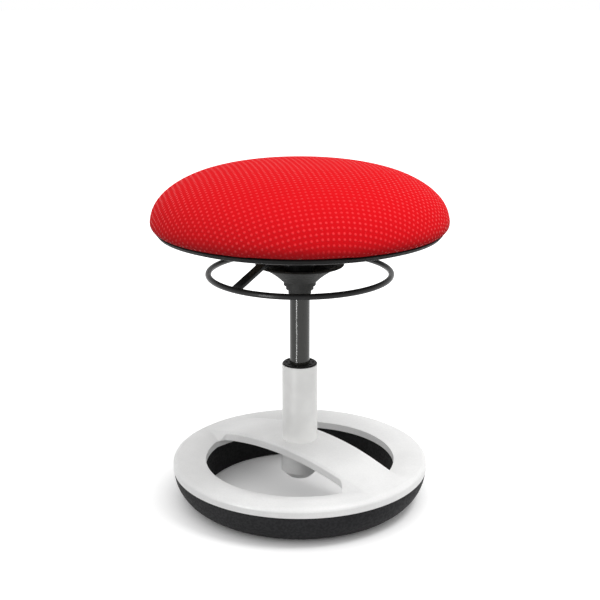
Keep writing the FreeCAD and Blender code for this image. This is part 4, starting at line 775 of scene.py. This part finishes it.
def arm_strap(name, way):
    """Flat arm from the yoke down to the lever ring: the CAD's size near the housing, then stouter."""
    lift = bpy.context.scene.stool_lift
    ring_low, ring_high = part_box("lever_ring")
    ring_level = (ring_low.z + ring_high.z) / 2
    ring_radius = ring_high.x - (ring_high.z - ring_low.z) / 2
    start = LEVER_YOKE_END
    level = ARM_LEVEL
    turn = math.radians(LEVER_ANGLE) + (math.pi if way < 0 else 0.0)
    along_arm = Vector((math.cos(turn), math.sin(turn), 0))
    across_arm = Vector((-math.sin(turn), math.cos(turn), 0))
    fall = (ring_level - level) / (ring_radius - start - ARM_BEND)
    stations = [(start, level, 0.0), (start + ARM_BEND * 0.75, level, 0.0)]
    for share in ARM_SHARES:
        run = (ring_radius - start - ARM_BEND) * share
        grown = min(1.0, max(0.0, (share - ARM_PLAIN_SHARE) / ARM_GROWTH_SHARE))
        stations.append((start + ARM_BEND + run, level + fall * run, grown))
    form = bmesh.new()
    loops = []
    for index, (reach, height, grown) in enumerate(stations):
        deep = SHEET + (lift.arm_thickness - SHEET) * grown
        wide_half = (ARM_WIDTH + (lift.arm_width - ARM_WIDTH) * grown) / 2
        lean = math.atan(fall) if index > 1 else 0.0
        up = Vector((0, 0, math.cos(lean))) - along_arm * math.sin(lean)
        centre = along_arm * reach + Vector((0, 0, height)) - up * (deep - SHEET) * 0.5
        corner = min(ARM_CORNER, deep * 0.4)
        loop = []
        for quarter, (side, top) in enumerate(((1, 1), (-1, 1), (-1, -1), (1, -1))):
            for step in range(4):
                swing = math.radians(90 * quarter + 30 * step)
                wide = side * (wide_half - corner) + corner * math.cos(swing)
                high = top * (deep / 2 - corner) + corner * math.sin(swing)
                loop.append(form.verts.new(centre + across_arm * wide + up * high))
        loops.append(loop)
    for near, far in zip(loops, loops[1:]):
        for step in range(len(near)):
            after = (step + 1) % len(near)
            form.faces.new((near[step], near[after], far[after], far[step]))
    form.faces.new(list(reversed(loops[0])))
    form.faces.new(loops[-1])
    bmesh.ops.recalc_face_normals(form, faces=form.faces)
    return laid_in_scene(name, form)


def wear_finish(thing, finish):
    """Gives a piece one finish all over."""
    thing.data.materials.clear()
    thing.data.materials.append(finish)


def finish_nodes(finish, *names):
    """Gives CAD nodes one finish."""
    for name in names:
        wear_finish(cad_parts[name], finish)


# Operators, one for each piece or group of like pieces

class STOOL_OT_shared_effects(bpy.types.Operator):
    """Build the grain, wear, dust and line effects that the finishes share"""
    bl_idname = "stool.shared_effects"
    bl_label = "Shared effects"

    def execute(self, context):
        """Builds each effect once."""
        makers = (moulding_grain_group, edge_wear_group, settled_dust_group, turned_lines_group,
                  drawn_lines_group)
        for maker in makers:
            tree = maker()
            EFFECTS[tree.name] = tree
        tree = dotted_knit_group(crown_profile())
        EFFECTS[tree.name] = tree
        return {"FINISHED"}


class STOOL_OT_base(bpy.types.Operator):
    """Finish the rocker, the white base cover and their screws"""
    bl_idname = "stool.base"
    bl_label = "Rocker and base cover"

    def execute(self, context):
        """Gives the base's pieces their finishes."""
        base = context.scene.stool_base
        rubber = soft_rubber("Rocker rubber", tuple(base.rocker_colour), 0.72)
        white = moulded_plastic("White moulding", tuple(base.cover_colour), 0.42, base.grain, 0.00001, 0.02)
        oxide = coated_steel("Black oxide", (0.02, 0.02, 0.021), 0.42, 0.4, 0.0006, 0.00001)
        finish_nodes(rubber, "rocker_ring")
        finish_nodes(white, "base_cover")
        finish_nodes(oxide, "base_screws", "shell_screws", "seat_bolts")
        return {"FINISHED"}


class STOOL_OT_column(bpy.types.Operator):
    """Finish the white column, its floor and the guide bush"""
    bl_idname = "stool.column"
    bl_label = "Column and guide bush"

    def execute(self, context):
        """Gives the column's pieces their finishes."""
        base = context.scene.stool_base
        white = coated_steel("White powder coat", tuple(base.column_colour), 0.36, 0.0, 0.0018, 0.00002)
        plain = bright_steel("Plain steel", (0.42, 0.42, 0.43), 0.32)
        black = moulded_plastic("Black bush", tuple(base.bush_colour), 0.5, 0.0006, dust=0.03, shine=0.12)
        finish_nodes(white, "column_tube")
        finish_nodes(plain, "column_floor")
        finish_nodes(black, "guide_bush")
        return {"FINISHED"}


class STOOL_OT_bearing(bpy.types.Operator):
    """Finish the thrust bearing, the buffer and the rod's fastenings"""
    bl_idname = "stool.bearing"
    bl_label = "Bearing and fastenings"

    def execute(self, context):
        """Gives the bearing and the small parts round the rod their finishes."""
        polished = bright_steel("Bearing steel", (0.60, 0.60, 0.62), 0.08, width=0.0002, depth=0.000001)
        nylon = moulded_plastic("Natural nylon", (0.60, 0.58, 0.51), 0.5, 0.0005)
        zinc = bright_steel("Zinc plate", (0.56, 0.56, 0.54), 0.3, width=0.0005)
        phosphate = bright_steel("Spring steel", (0.16, 0.16, 0.17), 0.38, width=0.0003)
        seal = soft_rubber("Seal rubber", (0.022, 0.022, 0.022), 0.6, 0.0006)
        finish_nodes(polished, "bearing_lower_race", "bearing_balls", "bearing_upper_race")
        finish_nodes(nylon, "bearing_cage", "piston_ring", "rod_guide")
        finish_nodes(zinc, "rod_washer", "piston_nut", "pivot_pin", "t_nuts")
        finish_nodes(phosphate, "retaining_clip")
        finish_nodes(seal, "rubber_buffer", "rod_seal")
        return {"FINISHED"}


class STOOL_OT_gas_spring(bpy.types.Operator):
    """Finish the gas spring's tube, rod, piston and valve"""
    bl_idname = "stool.gas_spring"
    bl_label = "Gas spring"

    def execute(self, context):
        """Gives the gas spring's pieces their finishes."""
        lift = context.scene.stool_lift
        chrome = bright_steel("Hard chrome", (0.66, 0.66, 0.68), 0.07, "Drawn lines", 0.0004, 0.000001)
        turned = bright_steel("Turned aluminium", (0.62, 0.62, 0.63), 0.26, width=0.0005)
        finish_nodes(lacquered_tube("Tube lacquer", tuple(lift.tube_colour), 0.17), "gas_spring_tube")
        finish_nodes(chrome, "piston_rod", "release_pin")
        finish_nodes(turned, "piston", "valve_body")
        return {"FINISHED"}


class STOOL_OT_lever(bpy.types.Operator):
    """Finish the mechanism's housing, the yoke and the ring lever"""
    bl_idname = "stool.lever"
    bl_label = "Mechanism and ring lever"

    def execute(self, context):
        """Gives the mechanism and the lever their finishes."""
        lift = context.scene.stool_lift
        housing = coated_steel("Mechanism coat", tuple(lift.lever_colour), 0.5, lift.wear, shine=0.2)
        satin = coated_steel("Lever coat", tuple(lift.lever_colour), 0.34, lift.wear, 0.0012, 0.00001, 0.22)
        finish_nodes(housing, "taper_socket", "mechanism_housing", "release_yoke")
        finish_nodes(satin, "lever_ring")
        for name, node, way in (("front_arm", "lever_arm_front", 1), ("rear_arm", "lever_arm_rear", -1)):
            strap = arm_strap(name, way)
            smooth(strap)
            wear_finish(strap, satin)
            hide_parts(node)
            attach(strap, "lever")
        return {"FINISHED"}


class STOOL_OT_shroud(bpy.types.Operator):
    """Finish the stepped shroud round the gas spring"""
    bl_idname = "stool.shroud"
    bl_label = "Stepped shroud"

    def execute(self, context):
        """Gives the shroud its matt finish."""
        lift = context.scene.stool_lift
        matt = moulded_plastic("Matt shroud", tuple(lift.shroud_colour), 0.68, 0.0006, 0.00002, 0.06, 0.25)
        finish_nodes(matt, "bellows_shroud")
        return {"FINISHED"}


class STOOL_OT_seat_structure(bpy.types.Operator):
    """Finish the seat board and the black shell under the cushion"""
    bl_idname = "stool.seat_structure"
    bl_label = "Board and shell"

    def execute(self, context):
        """Gives the board and the shell their finishes."""
        lift = context.scene.stool_lift
        shell = moulded_plastic("Black shell", tuple(lift.shell_colour), 0.55, 0.0011, 0.00004, 0.05, 0.1)
        finish_nodes(bare_plywood(), "seat_board")
        finish_nodes(shell, "seat_shell")
        return {"FINISHED"}


class STOOL_OT_foam(bpy.types.Operator):
    """Build the domed foam pad on the board"""
    bl_idname = "stool.foam"
    bl_label = "Foam pad"

    def execute(self, context):
        """Builds the foam a little inside the cover."""
        seat = context.scene.stool_seat
        inset = COVER_HIGH.z - FOAM_HIGH.z + seat.give
        crown = [(a, b) for a, b, run in crown_profile(inset, 60) if b > FOAM_LOW.z + 0.0025 or a < 0.01]
        crown = [point for point in crown if point[0] > 1e-6]
        side = crown[-1][0]
        inner = BOARD_HIGH.x + 0.0003
        top = BOARD_HIGH.z + 0.0003
        corners = [(0.0, FOAM_HIGH.z)] + crown
        corners += [(side - 0.001, FOAM_LOW.z + 0.0008), (side - 0.003, FOAM_LOW.z)]
        corners += [(inner + 0.002, FOAM_LOW.z), (inner, FOAM_LOW.z + 0.002), (inner, top - 0.002)]
        corners += [(inner - 0.002, top), (inner * 0.6, top), (0.0, top)]
        pad = turned_form("foam_pad", corners)
        smooth(pad)
        wear_finish(pad, moulded_foam())
        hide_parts("seat_foam")
        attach(pad, "seat")
        return {"FINISHED"}


class STOOL_OT_seat_cover(bpy.types.Operator):
    """Draw the dotted cover over the foam and under the rim"""
    bl_idname = "stool.seat_cover"
    bl_label = "Dotted seat cover"

    def execute(self, context):
        """Builds the cover, draws it on and gives it its thickness."""
        seat = context.scene.stool_seat
        skin = cover_skin("dotted_seat_cover", cells_across(COVER_CELL))
        drawn_over(skin)
        finer = skin.modifiers.new("finer", "SUBSURF")
        finer.levels = 1
        finer.render_levels = 1
        thick = skin.modifiers.new("cloth thickness", "SOLIDIFY")
        thick.thickness = seat.cloth_thickness
        thick.offset = -1.0
        smooth(skin)
        wear_finish(skin, dotted_cloth())
        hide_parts("seat_cover")
        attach(skin, "seat")
        return {"FINISHED"}


class STOOL_OT_stage(bpy.types.Operator):
    """Lay the pale floor, light it softly and stand the camera in front"""
    bl_idname = "stool.stage"
    bl_label = "Stage, light and camera"

    def execute(self, context):
        """Builds the floor, the sky, the lamps and the camera."""
        stage = context.scene.stool_stage
        lay_floor(stage)
        light_sky(stage)
        hang_lamp("key softbox", stage.key_power, (0.90, -0.50, 2.20), (0, 0, 0.42), 0.6, 0.6)
        strip = hang_lamp("left strip", stage.strip_power, (-0.32, -0.44, 0.26), (0, 0, 0.26), 0.02, 0.5)
        strip.visible_diffuse = False
        stand_camera(stage)
        context.scene.view_settings.view_transform = "Standard"
        return {"FINISHED"}


# Stage

def lay_floor(stage):
    """Wide pale floor that keeps the stool's shadow, with painted shadow near the stool, and meets the white
    surroundings.
    """
    mesh = bpy.data.meshes.new("floor")
    corners = [(x * FLOOR_HALF, y * FLOOR_HALF, 0) for x, y in ((-1, -1), (1, -1), (1, 1), (-1, 1))]
    mesh.from_pydata(corners, [], [(0, 1, 2, 3)])
    floor = bpy.data.objects.new("floor", mesh)
    bpy.context.scene.collection.objects.link(floor)
    finish, tree, shader = start_finish("Pale floor")
    grained = effect(tree, "Moulding grain", Grain_Size=0.004, Patch_Size=0.4)
    colour = tuple(stage.floor_colour)
    shader.inputs["Roughness"].default_value = 0.95
    shader.inputs["Specular IOR Level"].default_value = 0.0
    rays = tree.nodes.new("ShaderNodeLightPath")
    seen = maths(tree, "MAXIMUM", rays.outputs["Is Camera Ray"], rays.outputs["Is Glossy Ray"])
    seen = maths(tree, "MAXIMUM", seen, rays.outputs["Is Transmission Ray"])
    shown = blended(tree, grained["Patches"], shaded(colour, 0.995), colour)
    feed(tree, shader.inputs["Base Color"], blended(tree, seen, tuple(stage.bounce_colour), shown))
    shader.inputs["Emission Color"].default_value = (1, 1, 1, 1)
    # Painted shadow: the floor's glow is cut where ambient occlusion finds the stool within reach, which
    # darkens the floor round and under it.
    open_floor = place(tree, "ShaderNodeAmbientOcclusion", {"samples": 8},
                       Distance=FLOOR_SHADOW_REACH)
    glow = maths(tree, "MULTIPLY", maths(tree, "POWER", open_floor.outputs["AO"], 1.6), 0.6)
    feed(tree, shader.inputs["Emission Strength"], maths(tree, "MULTIPLY", seen, glow))
    wear_finish(floor, finish)


def light_sky(stage):
    """Even light from all round, seen as white."""
    world = bpy.data.worlds.new("white studio")
    world.use_nodes = True
    tree = world.node_tree
    tree.nodes.clear()
    rays = tree.nodes.new("ShaderNodeLightPath")
    seen = maths(tree, "MAXIMUM", rays.outputs["Is Camera Ray"], rays.outputs["Is Glossy Ray"])
    seen = maths(tree, "MAXIMUM", seen, rays.outputs["Is Transmission Ray"])
    strength = maths(tree, "ADD", maths(tree, "MULTIPLY", seen, 1.0 - stage.sky_strength), stage.sky_strength)
    sky = place(tree, "ShaderNodeBackground", None, Color=(1.0, 1.0, 1.0), Strength=strength)
    output = tree.nodes.new("ShaderNodeOutputWorld")
    tree.links.new(sky.outputs[0], output.inputs[0])
    bpy.context.scene.world = world


def hang_lamp(name, power, spot, target, width, height):
    """Soft rectangular lamp that faces a target."""
    lamp = bpy.data.lights.new(name, "AREA")
    lamp.shape = "RECTANGLE"
    lamp.size = width
    lamp.size_y = height
    lamp.energy = power
    hung = bpy.data.objects.new(name, lamp)
    hung.location = spot
    hung.rotation_euler = (Vector(target) - Vector(spot)).to_track_quat("-Z", "Y").to_euler()
    hung.visible_camera = False
    bpy.context.scene.collection.objects.link(hung)
    return hung


def stand_camera(stage):
    """Camera in front of the stool, a little above the seat, looking slightly down."""
    lens = bpy.data.cameras.new("front camera")
    lens.sensor_width = 36.0
    lens.lens = stage.focal_length
    lens.shift_x = (PHOTO_WIDTH / 2 - AXIS_PIXEL) / PHOTO_WIDTH
    lens.clip_end = 30.0
    camera = bpy.data.objects.new("front camera", lens)
    camera.location = (0.0, -stage.camera_distance, stage.camera_level)
    camera.rotation_euler = (math.pi / 2 - stage.camera_tilt, 0.0, 0.0)
    bpy.context.scene.collection.objects.link(camera)
    bpy.context.scene.camera = camera


# Panel and registration

class STOOL_PT_panel(bpy.types.Panel):
    """Lists the stool's settings and its pieces."""
    bl_label = "Wobble stool"
    bl_idname = "STOOL_PT_panel"
    bl_space_type = "VIEW_3D"
    bl_region_type = "UI"
    bl_category = "Stool"

    def draw(self, context):
        """Draws each group of settings and a button for each operator."""
        for key, group in SETTINGS:
            box = self.layout.box()
            for name in group.__annotations__:
                box.prop(getattr(context.scene, key), name)
        for operator in OPERATORS:
            self.layout.operator(operator.bl_idname)


SETTINGS = (
    ("stool_seat", SeatSettings),
    ("stool_base", BaseSettings),
    ("stool_lift", LiftSettings),
    ("stool_stage", StageSettings),
)
OPERATORS = (
    STOOL_OT_shared_effects,
    STOOL_OT_base,
    STOOL_OT_column,
    STOOL_OT_bearing,
    STOOL_OT_gas_spring,
    STOOL_OT_lever,
    STOOL_OT_shroud,
    STOOL_OT_seat_structure,
    STOOL_OT_foam,
    STOOL_OT_seat_cover,
    STOOL_OT_stage,
)


def register():
    """Registers the settings, the operators and the panel."""
    for key, group in SETTINGS:
        bpy.utils.register_class(group)
        setattr(bpy.types.Scene, key, bpy.props.PointerProperty(type=group))
    for operator in OPERATORS:
        bpy.utils.register_class(operator)
    bpy.utils.register_class(STOOL_PT_panel)


def unregister():
    """Takes the panel, the operators and the settings away again."""
    bpy.utils.unregister_class(STOOL_PT_panel)
    for operator in reversed(OPERATORS):
        bpy.utils.unregister_class(operator)
    for key, group in reversed(SETTINGS):
        delattr(bpy.types.Scene, key)
        bpy.utils.unregister_class(group)


def main():
    """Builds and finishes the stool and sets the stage."""
    register()
    bpy.ops.stool.shared_effects()
    bpy.ops.stool.base()
    bpy.ops.stool.column()
    bpy.ops.stool.bearing()
    bpy.ops.stool.gas_spring()
    bpy.ops.stool.lever()
    bpy.ops.stool.shroud()
    bpy.ops.stool.seat_structure()
    bpy.ops.stool.foam()
    bpy.ops.stool.seat_cover()
    bpy.ops.stool.stage()


if __name__ == "__main__":
    main()
